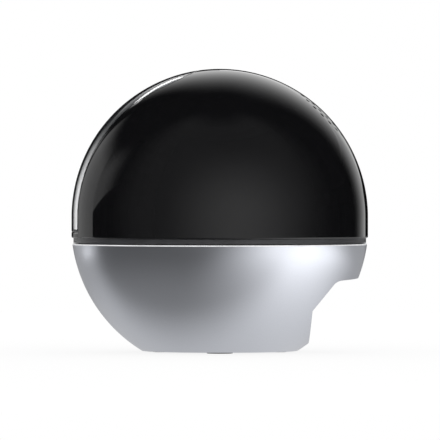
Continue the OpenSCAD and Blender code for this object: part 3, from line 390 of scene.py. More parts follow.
def lens_coating():
    finish = Finish("lens_coating", (0.05, 0.06, 0.13), roughness=0.01, ior=1.6, coat_weight=1.0,
                    coat_tint=(0.55, 0.45, 1.0, 1.0), coat_roughness=0.01)
    finish.vary_colour(finish.noise(6 * MM, detail=1), (0.03, 0.05, 0.12), (0.07, 0.05, 0.14))
    return finish.material


def wire_insulation():
    finish = Finish("wire_insulation", (0.42, 0.02, 0.015), roughness=0.4)
    finish.vary_colour(finish.noise(2 * MM), (0.36, 0.015, 0.012), (0.46, 0.025, 0.02))
    finish.bump(finish.noise(0.4 * MM), 0.1, 0.02 * MM)
    return finish.material


# Mesh helpers

def new_mesh(name, points, faces):
    mesh = bpy.data.meshes.new(name)
    mesh.from_pydata([tuple(point) for point in points], [], faces)
    work = bmesh.new()
    work.from_mesh(mesh)
    bmesh.ops.recalc_face_normals(work, faces=work.faces)
    work.to_mesh(mesh)
    work.free()
    return mesh


def lathe(name, outline, steps=192, place=Matrix.Identity(4)):
    """Turns a closed outline of (radius, height) pairs about the vertical axis.

    A radius of 0 gives one point."""
    points, rings = [], []
    for radius, height in outline:
        if radius < 1e-9:
            rings.append([len(points)])
            points.append(place @ Vector((0, 0, height)))
            continue
        rings.append(list(range(len(points), len(points) + steps)))
        for k in range(steps):
            turn = 2 * math.pi * k / steps
            points.append(place @ Vector((radius * math.cos(turn), radius * math.sin(turn), height)))
    faces = []
    for below, above in zip(rings, rings[1:] + rings[:1]):
        if len(below) == 1 and len(above) == 1:
            continue
        for k in range(steps):
            n = (k + 1) % steps
            if len(below) == 1:
                faces.append((below[0], above[n], above[k]))
            elif len(above) == 1:
                faces.append((below[k], below[n], above[0]))
            else:
                faces.append((below[k], below[n], above[n], above[k]))
    return new_mesh(name, points, faces)


def loft(name, rings, first_tip=None, last_tip=None):
    """Joins closed rings of the same count; the ends close to a point each, or else onto each other."""
    count = len(rings[0])
    points = [point for ring in rings for point in ring]
    faces = []
    last = len(rings) if first_tip is None else len(rings) - 1
    for r in range(last):
        a, b = r * count, (r + 1) % len(rings) * count
        for k in range(count):
            n = (k + 1) % count
            faces.append((a + k, a + n, b + n, b + k))
    if first_tip is not None:
        for tip, start in ((first_tip, 0), (last_tip, (len(rings) - 1) * count)):
            points.append(tip)
            for k in range(count):
                faces.append((start + k, start + (k + 1) % count, len(points) - 1))
    return new_mesh(name, points, faces)


def joined(name, meshes):
    """One mesh from several."""
    work = bmesh.new()
    for mesh in meshes:
        work.from_mesh(mesh)
    result = bpy.data.meshes.new(name)
    work.to_mesh(result)
    work.free()
    for mesh in meshes:
        bpy.data.meshes.remove(mesh)
    return result


def combined(mesh, tool, operation="DIFFERENCE"):
    """The mesh cut by, joined to or kept inside a closed tool mesh."""
    objects = [bpy.data.objects.new("work", mesh), bpy.data.objects.new("tool", tool)]
    for item in objects:
        bpy.context.scene.collection.objects.link(item)
    cut = objects[0].modifiers.new("cut", "BOOLEAN")
    cut.operation, cut.solver, cut.object = operation, "EXACT", objects[1]
    bpy.context.view_layer.update()
    view = bpy.context.evaluated_depsgraph_get()
    result = bpy.data.meshes.new_from_object(objects[0].evaluated_get(view))
    for item in objects:
        bpy.data.objects.remove(item)
    for used in (mesh, tool):
        bpy.data.meshes.remove(used)
    if len(result.polygons) == 0:
        raise RuntimeError(f"nothing is left of {result.name}")
    return result


class RoundSkin:
    """The surface of a ball, or of a ball that runs on downwards as an upright drum."""

    TOLERANCE = 0.009 * MM

    def __init__(self, centre_z, radius, drum=False, inward=False):
        self.centre_z, self.radius, self.drum, self.inward = centre_z, radius, drum, inward

    def normal(self, point):
        """The surface's normal at a point on it, or None away from it."""
        away = Vector((point.x, point.y, point.z - self.centre_z))
        if self.drum and away.z < 0:
            away.z = 0
        if abs(away.length - self.radius) > self.TOLERANCE:
            return None
        return -away.normalized() if self.inward else away.normalized()


def polish(mesh, skins=(), angle=math.radians(32)):
    """Smooth shading up to an angle, and the exact normals wherever a face lies on one of the skins."""
    mesh.shade_smooth()
    mesh.set_sharp_from_angle(angle=angle)
    normals = [corner.vector.copy() for corner in mesh.corner_normals]
    for face in mesh.polygons:
        corners = [mesh.vertices[v].co for v in face.vertices]
        for skin in skins:
            exact = [skin.normal(corner) for corner in corners]
            if all(exact) and exact[0].dot(face.normal) > 0.9:
                for loop, normal in zip(face.loop_indices, exact):
                    normals[loop] = normal
    mesh.normals_split_custom_set(normals)
    return mesh


def post(name, radius, low, high, place=Matrix.Identity(4), steps=48):
    """A round post along the place's Z, with a small bevel round its free end."""
    rim = min(0.2 * MM, radius / 4)
    outline = [(0, low), (radius, low), (radius, high - rim), (radius - rim, high), (0, high)]
    return lathe(name, outline, steps, place)


def slab(name, low, high, place=Matrix.Identity(4)):
    """A straight bar between two corners, to be joined to or cut from another mesh."""
    points = [place @ Vector((x, y, z)) for z in (low[2], high[2])
              for x, y in ((low[0], low[1]), (high[0], low[1]), (high[0], high[1]), (low[0], high[1]))]
    faces = [(3, 2, 1, 0), (4, 5, 6, 7)] + [(k, (k + 1) % 4, 4 + (k + 1) % 4, 4 + k) for k in range(4)]
    return new_mesh(name, points, faces)


def turned(angle, ring=0.0):
    """A place on a ring round the axis, by its angle in degrees, with its X pointing outwards."""
    return Matrix.Rotation(math.radians(angle), 4, "Z") @ Matrix.Translation((ring, 0, 0))


def add_piece(name, mesh, material, body, *nodes):
    """Puts a mesh into the scene on a body, in place of the CAD nodes that it stands for."""
    piece = bpy.data.objects.new(name, mesh)
    mesh.materials.clear()
    mesh.materials.append(finish_of(material))
    bpy.context.scene.collection.objects.link(piece)
    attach(piece, body)
    if nodes:
        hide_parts(*nodes)
    return piece


def finish_of(name):
    material = bpy.data.materials.get(name)
    if material is None:
        raise RuntimeError(f"finish {name} isn't made yet")
    return material


def steps_between(start, end, count):
    """Evenly spaced values with both ends among them."""
    return [start + (end - start) * k / count for k in range(count + 1)]


def arc(centre, radius, start, end, count):
    """Points of an arc in the plane of radius and height, by angle from the horizontal."""
    return [(centre[0] + radius * math.cos(a), centre[1] + radius * math.sin(a))
            for a in steps_between(start, end, count)]


def mouth(radius, top, edge, count):
    """The rounded mouth of a hole, from its bore out to the face at the top."""
    return arc((radius + edge, top - edge), edge, math.pi, math.pi / 2, count)


def cap(radius, base, rise, count):
    """Half an oval that closes a round end, from its rim in to the axis; a negative rise dishes it."""
    side = [(radius * math.cos(a), base + rise * math.sin(a)) for a in steps_between(0, math.pi / 2, count)]
    return side[1:-1] + [(0, base + rise)]


def to_rear(x, z, y=0.0):
    """A place whose Z points to the rear, for holes and turned pieces that lie along it."""
    return Matrix.Translation((x, y, z)) @ Matrix.Rotation(-math.pi / 2, 4, "X")


# Dome and window

def dome_outline(radius, low, arc_steps):
    """From the rim at the bottom up to the pole."""
    drum = [(radius, z) for z in steps_between(low, DOME_CENTRE_Z, 4)]
    ball = arc((0, DOME_CENTRE_Z), radius, 0, math.pi / 2, arc_steps)
    return drum[:-1] + ball[:-1] + [(0, DOME_CENTRE_Z + radius)]


def dome_skin(sizes, name):
    """The dome's wall as one closed shell, with a small bevel along its lower edge."""
    low, bevel = DOME_LOW.z, sizes.dome_edge
    outline = [(DOME_RADIUS - bevel, low)]
    outline += arc((DOME_RADIUS - bevel, low + bevel), bevel, -math.pi / 2, 0, 6)[1:]
    outline += dome_outline(DOME_RADIUS, low + bevel, 72)[1:]
    outline += reversed(dome_outline(DOME_RADIUS - sizes.dome_wall, low, 40))
    return lathe(name, outline, 288)


def window_ring(sizes, half, radius, low):
    """Points round the outline of the window's space, where it meets a dome of the given radius."""
    reach = math.sqrt(radius ** 2 - half ** 2)
    end = sizes.window_elevation
    ahead = Vector((0, -math.cos(end), math.sin(end)))
    over = Vector((0, math.sin(end), math.cos(end)))
    centre = Vector((0, 0, DOME_CENTRE_Z))
    side = [Vector((half, -reach, z)) for z in steps_between(low, DOME_CENTRE_Z, 3)][:-1]
    side += [centre + Vector((half, -reach * math.cos(a), reach * math.sin(a)))
             for a in steps_between(0, end, 44)][:-1]
    round_end = [centre + ahead * reach + Vector((half, 0, 0)) * math.cos(a) + over * half * math.sin(a)
                 for a in steps_between(0, math.pi, 40)]
    other_side = [Vector((-p.x, p.y, p.z)) for p in reversed(side)]
    bottom = [Vector((x, -math.sqrt(radius ** 2 - x ** 2), low)) for x in steps_between(-half, half, 16)]
    return side + round_end + other_side + bottom[1:-1]


def window_tool(sizes, half, low, opens):
    """The window's space as a closed solid.

    Its edge rounds off at the dome's surface, outwards if opens is 1."""
    rounding = sizes.seam_radius
    inside, outside = DOME_RADIUS - 9 * MM, DOME_RADIUS + 10 * MM
    rings = [window_ring(sizes, half, inside, low)]
    for a in steps_between(0, math.pi / 2, 5):
        grow = opens * rounding * (1 - math.cos(a))
        radius = DOME_RADIUS - rounding * (1 - math.sin(a)) + OVERLAP
        rings.append(window_ring(sizes, half + grow, radius, low - grow))
    grow = opens * rounding
    rings.append(window_ring(sizes, half + grow, outside, low - grow))
    inner_tip = Vector((0, -25 * MM, DOME_CENTRE_Z + 15 * MM))
    outer_tip = Vector((0, -70 * MM, DOME_CENTRE_Z + 55 * MM))
    return loft("window_tool", rings, inner_tip, outer_tip)


def grille_holes(sizes):
    """Places of the holes on the grille's own plane: staggered rings round a hole in the middle."""
    places = [(0.0, 0.0)]
    for ring in range(1, sizes.grille_rings + 1):
        radius = ring * sizes.grille_pitch
        count = 2 * round(math.pi * radius / sizes.grille_spacing)
        start = 0.5 if ring % 2 else 0.0
        for k in range(count):
            turn = 2 * math.pi * (k + start) / count
            places.append((radius * math.cos(turn), radius * math.sin(turn)))
    return places


def grille_turn(sizes):
    """Turns +Z to the grille's direction, from the dome's middle."""
    tilt = Matrix.Rotation(-(math.pi / 2 - sizes.grille_elevation), 4, "X")
    return Matrix.Translation((0, 0, DOME_CENTRE_Z)) @ tilt


def grille_tool(sizes):
    """The grille's holes as one mesh of pins, each with a small flare where it leaves the dome."""
    hole, edge = sizes.grille_hole / 2, sizes.grille_edge
    pins = []
    for x, y in grille_holes(sizes):
        top = math.sqrt(DOME_RADIUS ** 2 - x * x - y * y)
        root, past_skin, tip = top - 9 * MM, top + 0.01 * MM, top + 2 * MM
        outline = [(0, root), (hole, root), (hole, top - edge)]
        outline += mouth(hole, past_skin, edge, 4)[1:]
        outline += [(hole + edge * 1.5, tip), (0, tip)]
        pins.append(lathe("pin", outline, 24, grille_turn(sizes) @ Matrix.Translation((x, y, 0))))
    return joined("grille_tool", pins)


DOME_SCREWS = (35, 145, 215, 325)
DOME_BOSS_HEIGHT = 9 * MM
EAR_OFFSET = 16 * MM
EAR_SEAT = 41.1 * MM


def make_dome_bosses(sizes):
    """Inside the dome: bosses for its screws, each with a rib, and for the speaker's bracket."""
    low, high, below = DOME_LOW.z, DOME_LOW.z + DOME_BOSS_HEIGHT, DOME_LOW.z - 1 * MM
    ring = DOME_RADIUS - sizes.dome_wall - 4 * MM
    boss, screw, depth = 2.8 * MM, 1.25 * MM, 6.5 * MM
    rib_low, rib_high = (0, -1 * MM, low + 0.3 * MM), (8 * MM, 1 * MM, high - 0.4 * MM)
    bosses, holes = [], []
    for angle in DOME_SCREWS:
        place = turned(angle, ring)
        column = post("boss", boss, low + 0.1 * MM, high, place)
        bosses.append(combined(column, slab("rib", rib_low, rib_high, place), "UNION"))
        holes.append(post("hole", screw, below, low + depth, place, 32))
    ear, ear_screw, ear_depth, past_skin = 2.3 * MM, 1 * MM, 2.6 * MM, DOME_RADIUS + 5 * MM
    for side in (-1, 1):
        place = grille_turn(sizes) @ Matrix.Translation((side * EAR_OFFSET, 0, 0))
        outline = [(0, EAR_SEAT), (ear, EAR_SEAT), (ear, past_skin), (0, past_skin)]
        bosses.append(lathe("ear_boss", outline, 48, place))
        holes.append(post("hole", ear_screw, EAR_SEAT - 1 * MM, EAR_SEAT + ear_depth, place, 32))
    inside = dome_outline(DOME_RADIUS - sizes.dome_wall / 2, below, 40)
    limit = lathe("limit", [(0, below)] + inside, 144)
    bosses = combined(joined("dome_bosses", bosses), limit, "INTERSECT")
    bosses = combined(bosses, joined("dome_boss_holes", holes))
    add_piece("dome_bosses", polish(bosses), "piano_black", "head")


def dome_skins(sizes):
    """The dome's outer and inner surface."""
    return (RoundSkin(DOME_CENTRE_Z, DOME_RADIUS, drum=True),
            RoundSkin(DOME_CENTRE_Z, DOME_RADIUS - sizes.dome_wall, drum=True, inward=True))


def make_dome(sizes):
    """The dome with the window's opening and the grille."""
    half = (WINDOW_HIGH.x - WINDOW_LOW.x) / 2 + sizes.window_gap
    opening = window_tool(sizes, half, WINDOW_LOW.z - sizes.window_gap, 1)
    shell = combined(dome_skin(sizes, "dome_shell"), opening)
    shell = combined(shell, grille_tool(sizes))
    add_piece("dome_shell", polish(shell, dome_skins(sizes)), "piano_black", "head", "dome")


def make_window(sizes):
    """The smoked pane, which continues the dome's surface."""
    space = window_tool(sizes, (WINDOW_HIGH.x - WINDOW_LOW.x) / 2, WINDOW_LOW.z, -1)
    pane = combined(dome_skin(sizes, "window_pane"), space, "INTERSECT")
    add_piece("window_pane", polish(pane, dome_skins(sizes)), "smoked_plastic", "head", "front_window")


# Base

class BaseBall:
    """The ball of the base's side, through its top edge and the edge of its underside, less a depth."""

    def __init__(self, sizes, depth=0.0):
        low, high = BASE_LOW.z, BASE_HIGH.z
        top = DOME_RADIUS - sizes.base_inset
        self.centre_z = (top ** 2 - sizes.base_foot ** 2 + high ** 2 - low ** 2) / (2 * (high - low))
        self.radius = math.hypot(sizes.base_foot, self.centre_z - low) - depth

    def reach(self, height):
        """Distance of the side from the axis."""
        return math.sqrt(self.radius ** 2 - (height - self.centre_z) ** 2)

    def angle(self, height):
        return math.asin((height - self.centre_z) / self.radius)

    def side(self, start, end, count):
        return arc((0, self.centre_z), self.radius, start, end, count)


def heading(angle):
    """A step of length 1 at an angle."""
    return Vector((math.cos(angle), math.sin(angle)))


def square_to(angle):
    """The same step, turned left by a right angle."""
    return Vector((-math.sin(angle), math.cos(angle)))


def notch_outline(notch, back=0.0, arc_steps=16):
    """The notch seen along the width, as (distance to the rear, height); back moves it into the base."""
    low, below, beyond = BASE_LOW.z, 20 * MM, 40 * MM
    lean = math.atan2(notch.port_top, notch.port_lean)
    head = Vector((notch.port_y + notch.port_lean, low + notch.port_top))
    root = low + notch.overhang_z
    corner = Vector((head.x + (root - head.y) / math.tan(notch.slope), root))
    radius = notch.corner + back
    first, second = (lean - notch.slope) / 2, (notch.slope - notch.overhang_slope) / 2
    foot = Vector((notch.port_y - back / math.sin(lean), low))
    head += back / math.cos(first) * square_to(lean - first)
    corner += back / math.cos(second) * square_to(notch.slope - second)
    start = corner - radius * math.tan(second) * heading(notch.slope)
    middle = start - radius * square_to(notch.slope)
    bend = [middle + radius * square_to(a)
            for a in steps_between(notch.slope, notch.overhang_slope, arc_steps)]
    return [foot - below * heading(lean), head] + bend + [corner + beyond * heading(notch.overhang_slope)]


def notch_tool(notch, back=0.0):
    """The notch's space as a bar across the base."""
    half_width, under = 60 * MM, -20 * MM
    outline = notch_outline(notch, back)
    outline.append(Vector((outline[-1].x, under)))
    count = len(outline)
    points = [Vector((side * half_width, p.x, p.y)) for side in (-1, 1) for p in outline]
    faces = [(k, (k + 1) % count, count + (k + 1) % count, count + k) for k in range(count)]
    faces += [tuple(range(count)), tuple(range(2 * count - 1, count - 1, -1))]
    return new_mesh("notch_tool", points, faces)


def edge_stations(sizes, notch):
    """Where a ball rolls inside the edge between the base's skin and the notch, on the +X side.

    Each station is (centre, direction to the notch's face)."""
    inside = BaseBall(sizes, sizes.edge_round)
    spacing, kink = 1.2 * MM, math.radians(8)
    line = notch_outline(notch)
    stations = []

    def square_of_half_width(p):
        return inside.radius ** 2 - p.x ** 2 - (p.y - inside.centre_z) ** 2

    def station(p, facing):
        centre = p - facing * sizes.edge_round
        return Vector((math.sqrt(max(0.0, square_of_half_width(centre))), centre.x, centre.y)), facing

    def last_inside(start, end, facing):
        """The share of the way from start to end where the rolling ball reaches the notch's middle."""
        low, high = 0.0, 1.0
        for _ in range(50):
            mid = (low + high) / 2
            if square_of_half_width(start.lerp(end, mid) - facing * sizes.edge_round) > 0:
                low = mid
            else:
                high = mid
        return low

    for k, (a, b) in enumerate(zip(line, line[1:])):
        along = (b - a).normalized()
        facing = Vector((along.y, -along.x))
        if k == 0:
            reach = 1 - last_inside(b, a, facing)
            spots = [1 - (1 - reach) * math.sin(t) for t in steps_between(math.pi / 2, 0, 30)]
        elif k == len(line) - 2:
            reach = last_inside(a, b, facing)
            spots = [reach * math.sin(t) for t in steps_between(0, math.pi / 2, 30)]
        else:
            spots = steps_between(0, 1, max(1, int((b - a).length / spacing)))
        if k:
            before = stations[-1][1]
            if before.angle(facing) > kink:
                stations += [station(a, before.lerp(facing, t).normalized()) for t in (0.25, 0.5, 0.75)]
        stations += [station(a.lerp(b, t), facing) for t in spots]
    return stations


def edge_tool(sizes, notch):
    """Takes the edge of the notch off as a ball rolled along it would leave it."""
    skin_centre = Vector((0, 0, BaseBall(sizes).centre_z))
    radius, beyond = sizes.edge_round + OVERLAP, 1.2 * MM
    half = []
    for centre, facing in edge_stations(sizes, notch):
        to_notch = Vector((0, facing.x, facing.y))
        to_skin = (centre - skin_centre).normalized()
        ring = [centre + radius * to_notch.slerp(to_skin, t) for t in steps_between(0, 1, 8)]
        ring += [centre + (radius + beyond) * to_notch.slerp(to_skin, t) for t in (1, 0.5, 0)]
        half.append(ring)
    mirror = [[Vector((-p.x, p.y, p.z)) for p in ring] for ring in half]
    return loft("edge_tool", half + list(reversed(mirror))[1:-1])


def flared_hole(radius, x, z, y, length, flare):
    """A round hole towards the rear that flares where it meets the outer face at y."""
    outline = [(0, -length), (radius, -length)] + mouth(radius, 0, flare, 5)
    outline += [(radius + flare, length), (0, length)]
    return lathe("hole", outline, 64, to_rear(x, z, y))


def flared_slot(low, high, y, length, flare=0.3 * MM):
    """A slot with round ends and a flared edge; low and high are its (x, z) corners."""
    radius = (high[1] - low[1]) / 2
    middle = (low[1] + high[1]) / 2
    ends = ((high[0] - radius, -math.pi / 2), (low[0] + radius, math.pi / 2))

    def ring(grow, depth):
        return [Vector((u, y + depth, v)) for x, start in ends
                for u, v in arc((x, middle), radius + grow, start, start + math.pi, 12)]

    rings = [ring(*p) for p in [(0, -length)] + mouth(0, 0, flare, 5) + [(flare, length)]]
    x = (low[0] + high[0]) / 2
    return loft("slot", rings, Vector((x, y - length, middle)), Vector((x, y + length, middle)))


COVER_SEAT = COVER_LOW.z + 1.8 * MM
FRAME_SEAT = 29.8 * MM
FRAME_SCREWS = (50, 130, 230, 310)
FRAME_SCREW_RING = 40.75 * MM
COVER_SCREWS = (45, 135, 225, 315)
COVER_SCREW_RING = 21.1 * MM
BOARD_SEAT = BASE_LOW.z + 5.2 * MM
BOARD_SCREWS = (0, 180, 270)
BOARD_SCREW_RING = 24.6 * MM
NOSE_RADIUS = 3.7 * MM
BUTTON_HOLE = 1.6 * MM
PORT_DEPTH = 6 * MM


def base_solid(sizes):
    """The base as a full solid with its two rounded edges and the recess for the cover."""
    ball = BaseBall(sizes)
    low, high, bevel, foot = BASE_LOW.z, BASE_HIGH.z, sizes.top_edge, sizes.foot_round
    opening, chamfer = COVER_HIGH.x + 0.15 * MM, 0.3 * MM
    bend_z, crown = low + foot, high - bevel
    bend_r = BaseBall(sizes, foot).reach(bend_z)
    turn = math.atan2(bend_z - ball.centre_z, bend_r)
    outline = [(0, COVER_SEAT), (opening, COVER_SEAT), (opening, low + chamfer), (opening + chamfer, low)]
    outline += arc((bend_r, bend_z), foot, -math.pi / 2, turn, 8)
    outline += ball.side(turn, ball.angle(crown), 44)[1:]
    outline += arc((ball.reach(crown) - bevel, crown), bevel, 0, math.pi / 2, 6)[1:] + [(0, high)]
    return lathe("base_body", outline, 288)


def base_hollow(sizes, notch):
    """The space inside the base, which keeps a wall to the notch and a ledge round the cover."""
    ball = BaseBall(sizes, sizes.base_wall)
    ledge, top = COVER_HIGH.x - 3.4 * MM, BASE_HIGH.z + 1 * MM
    bottom, floor = COVER_SEAT - 1 * MM, COVER_SEAT + 1.6 * MM
    outline = [(0, bottom), (ledge, bottom), (ledge, floor)]
    outline += ball.side(ball.angle(floor), ball.angle(top), 24) + [(0, top)]
    return combined(lathe("base_hollow", outline, 144), notch_tool(notch, notch.skin))


def port_tools(notch):
    """The holes for the plug and the reset button and the slot for the card, through the socket wall."""
    def wall_at(height):
        return notch.port_y + notch.port_lean * (height - BASE_LOW.z) / notch.port_top

    for low, high, radius, flare in ((SOCKET_LOW, SOCKET_HIGH, NOSE_RADIUS + 0.15 * MM, 0.35 * MM),
                                     (BUTTON_LOW, BUTTON_HIGH, BUTTON_HOLE, 0.25 * MM)):
        x, _, z = (low + high) / 2
        yield flared_hole(radius, x, z, wall_at(z), PORT_DEPTH, flare)
    gap = 0.2 * MM
    yield flared_slot((CARD_LOW.x - gap, CARD_LOW.z - gap), (CARD_HIGH.x + gap, CARD_HIGH.z + gap),
                      wall_at(CARD_HIGH.z), PORT_DEPTH)


def make_base(sizes, notch):
    """The silver base with its notch and ports, and a painted highlight along its upper edge."""
    hollow = base_hollow(sizes, notch)
    body = combined(base_solid(sizes), notch_tool(notch))
    body = combined(body, edge_tool(sizes, notch))
    for tool in port_tools(notch):
        body = combined(body, tool)
    body = combined(body, hollow)
    ball, inside = BaseBall(sizes), BaseBall(sizes, sizes.base_wall)
    skins = (RoundSkin(ball.centre_z, ball.radius), RoundSkin(ball.centre_z, inside.radius, inward=True))
    piece = add_piece("base_body", polish(body, skins), "metallic_silver", "base", "base_shell")
    # Painted highlight: the faces of the rounded top edge get a pale non-metal finish, so they show as a
    # bright line.
    piece.data.materials.append(finish_of("painted_highlight_edge"))
    crown = BASE_HIGH.z - sizes.top_edge
    rim = ball.reach(crown) - sizes.top_edge
    for face in piece.data.polygons:
        outside = math.hypot(face.center.x, face.center.y) > rim
        if outside and face.center.z > crown and face.normal.z > 0.05:
            face.material_index = 1


def make_base_posts(sizes, notch):
    """Inside the base: posts for the bearing frame and the main board, and for the cover's screws."""
    low, high = BASE_LOW.z, BASE_HIGH.z
    ball = BaseBall(sizes, sizes.base_wall / 2)
    # Angles and ring, radius, foot and top of the posts, then radius, foot and top of their holes.
    kinds = ((FRAME_SCREWS, FRAME_SCREW_RING, 3.2 * MM, low + 2.6 * MM, FRAME_SEAT,
              1.25 * MM, FRAME_SEAT - 8 * MM, FRAME_SEAT + 1 * MM),
             (COVER_SCREWS, COVER_SCREW_RING, 2.4 * MM, low + 1.85 * MM, low + 4.9 * MM,
              0.95 * MM, low, low + 3.9 * MM),
             (BOARD_SCREWS, BOARD_SCREW_RING, 2 * MM, low + 2.6 * MM, BOARD_SEAT,
              0.95 * MM, BOARD_SEAT - 2.6 * MM, BOARD_SEAT + 1 * MM))
    posts, holes = [], []
    for angles, ring, radius, foot, seat, hole, bottom, top in kinds:
        for angle in angles:
            posts.append(post("post", radius, foot, seat, turned(angle, ring)))
            holes.append(post("hole", hole, bottom, top, turned(angle, ring), 28))
    outline = [(0, low)] + ball.side(ball.angle(low), ball.angle(high), 24) + [(0, high)]
    posts = combined(joined("base_posts", posts), lathe("limit", outline, 144), "INTERSECT")
    posts = combined(posts, notch_tool(notch, notch.skin / 2))
    posts = combined(posts, joined("screw_holes", holes))
    add_piece("base_posts", polish(posts), "metallic_silver", "base")


# Ports

def points_of(node):
    """The points of a CAD node's mesh."""
    return [vertex.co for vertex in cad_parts[node].data.vertices]


def make_socket():
    """The power socket's body with its rounded nose, the centre pin and the spring beside the plug."""
    middle = (SOCKET_LOW + SOCKET_HIGH) / 2
    face, bore, depth, lip = SOCKET_HIGH.y, 2.8 * MM, 9.5 * MM, 0.35 * MM
    floor, root, brim, crest = face - depth, SOCKET_LOW.y + 1 * MM, bore + lip, middle.z + bore
    beside_nose = [p.y for p in points_of("power_socket") if abs(p.x - middle.x) > NOSE_RADIUS + 0.2 * MM]
    place = to_rear(middle.x, middle.z)
    body = slab("socket_body", SOCKET_LOW, (SOCKET_HIGH.x, max(beside_nose), SOCKET_HIGH.z))
    nose = [(0, root), (NOSE_RADIUS, root), (NOSE_RADIUS, face - lip)]
    nose += arc((NOSE_RADIUS - lip, face - lip), lip, 0, math.pi / 2, 6)[1:] + [(0, face)]
    body = combined(body, lathe("nose", nose, 72, place), "UNION")
    opening = [(0, floor), (bore, floor), (bore, face - lip), (brim, face)]
    opening += [(brim, face + lip), (0, face + lip)]
    body = combined(body, lathe("bore", opening, 72, place))
    recess_low = (middle.x - 0.9 * MM, floor, crest - 0.5 * MM)
    recess_high = (middle.x + 0.9 * MM, face - 2.2 * MM, crest + 0.55 * MM)
    body = combined(body, slab("recess", recess_low, recess_high))
    add_piece("socket_body", polish(body), "moulded_plastic", "base", "power_socket")

    pin, tip, foot = 1 * MM, face - 1 * MM, floor - 0.5 * MM
    shoulder = tip - pin * 0.8
    outline = [(0, foot), (pin, foot), (pin, shoulder)] + cap(pin, shoulder, pin * 0.8, 8)
    add_piece("socket_pin", polish(lathe("socket_pin", outline, 40, place)), "bearing_steel", "base")

    # The spring lies in the recess above the bore and bends down to the plug.
    side, thick = 0.7 * MM, 0.15 * MM
    section = ((-side, 0), (side, 0), (side, thick), (-side, thick))
    run = [(floor + 0.2 * MM, 0.3 * MM), (floor + 3 * MM, 0.3 * MM), (face - 5 * MM, -0.3 * MM),
           (face - 4 * MM, -0.35 * MM), (face - 2.6 * MM, 0.3 * MM)]
    rings = [[Vector((middle.x + x, y, crest + up + z)) for x, z in section] for y, up in run]
    ends = [Vector((middle.x, y, crest + up + thick / 2)) for y, up in (run[0], run[-1])]
    add_piece("socket_spring", polish(loft("socket_spring", rings, *ends)), "zinc_steel", "base")


def make_card():
    """The memory card: rounded corners, the step at its side, a raised grip and its contacts."""
    low, high = CARD_LOW, CARD_HIGH
    step, corner, edge = 1.3 * MM, 0.7 * MM, 0.12 * MM
    under, face, shoulder = low.z + 0.03 * MM, high.z - 0.1 * MM, low.y + 5 * MM

    def ring(inset, z):
        left, right, front, back = low.x + inset, high.x - inset, low.y + inset, high.y - inset
        corners = (((left + corner, front + corner), math.pi),
                   ((right - step - corner, front + corner), 1.5 * math.pi),
                   ((right - corner, shoulder + corner + inset), 1.5 * math.pi),
                   ((right - corner, back - corner), 0.0),
                   ((left + corner, back - corner), 0.5 * math.pi))
        points = []
        for k, (middle, start) in enumerate(corners):
            points += [Vector((*q, z)) for q in arc(middle, corner, start, start + math.pi / 2, 6)]
            if k == 1:
                points.append(Vector((right - step, shoulder + inset, z)))
        return points

    rings = [ring(edge, under), ring(0, under + edge), ring(0, face - edge), ring(edge, face)]
    x, y = (low.x + high.x - step) / 2, (low.y + high.y) / 2
    card = loft("card_body", rings, Vector((x, y, under)), Vector((x, y, face)))
    grip = slab("grip", (low.x + 1.2 * MM, high.y - 1.3 * MM, high.z - 0.3 * MM),
                (high.x - 1.2 * MM, high.y - 0.5 * MM, high.z))
    card = combined(card, grip, "UNION")
    add_piece("card_body", polish(card), "moulded_plastic", "memory_card", "memory_card")

    count, long_ones, margin = 8, (2, 5), 0.8 * MM
    pitch = (high.x - low.x - step - 2 * margin) / count
    contacts = []
    for k in range(count):
        left = low.x + margin + (k + 0.15) * pitch
        end = (left + 0.7 * pitch, low.y + (3.6 * MM if k in long_ones else 3.3 * MM), low.z + 0.1 * MM)
        contacts.append(slab("contact", (left, low.y + margin, low.z), end))
    add_piece("card_contacts", polish(joined("card_contacts", contacts)), "gold_contact", "memory_card")


def make_button():
    """The reset button with a dished face, its collar and its stem."""
    low, high = BUTTON_LOW, BUTTON_HIGH
    middle = (low + high) / 2
    collar, stem, edge, dish = (high.x - low.x) / 2, 0.6 * MM, 0.2 * MM, 0.15 * MM
    radius = collar - 0.6 * MM
    seat = min(p.y for p in points_of("reset_button")
               if math.hypot(p.x - middle.x, p.z - middle.z) > collar * 0.98)
    shoulder = seat + 0.6 * MM
    outline = [(0, low.y), (stem, low.y), (stem, seat), (collar, seat), (collar, shoulder)]
    outline += [(radius, shoulder)] + arc((radius - edge, high.y - edge), edge, 0, math.pi / 2, 5)
    outline += cap(radius - edge, high.y, -dish, 8)
    button = polish(lathe("reset_cap", outline, 64, to_rear(middle.x, middle.z)))
    add_piece("reset_cap", button, "button_plastic", "reset_button", "reset_button")


# Lens

IRIS_BLADES = 6


def make_lens_stack():
    """Behind the front glass: an iris of overlapping blades and a second lens in the barrel's bore."""
    place = to_rear(0, (BARREL_LOW.z + BARREL_HIGH.z) / 2, BARREL_LOW.y)
    bore, opening, thick = 3.36 * MM, 1.5 * MM, 0.06 * MM
    first, step = 6.2 * MM, 0.08 * MM
    outline = arc((0, 0), bore, -0.2, 1.25, 10) + arc((0, 0), opening, 1.25, -0.2, 1)
    blades = []
    for k in range(IRIS_BLADES):
        turn = place @ Matrix.Rotation(2 * math.pi * k / IRIS_BLADES, 4, "Z")
        faces = (first + step * k, first + step * k + thick)
        rings = [[turn @ Vector((*p, depth)) for p in outline] for depth in faces]
        tips = [turn @ Vector((1.5 * MM, 1.2 * MM, depth)) for depth in faces]
        blades.append(loft("blade", rings, *tips))
    add_piece("iris_blades", polish(joined("iris_blades", blades)), "lens_barrel", "eye")
    front_pole, front_sag, rear_pole, rear_sag = 8.2 * MM, 1.1 * MM, 11.8 * MM, 1.3 * MM
    outline = [(r, front_pole + front_sag * (r / bore) ** 2) for r in steps_between(0, bore, 12)]
    outline += [(r, rear_pole - rear_sag * (r / bore) ** 2) for r in steps_between(bore, 0, 12)]
    add_piece("second_lens", polish(lathe("second_lens", outline, 72, place)), "lens_coating", "eye")


# Underside

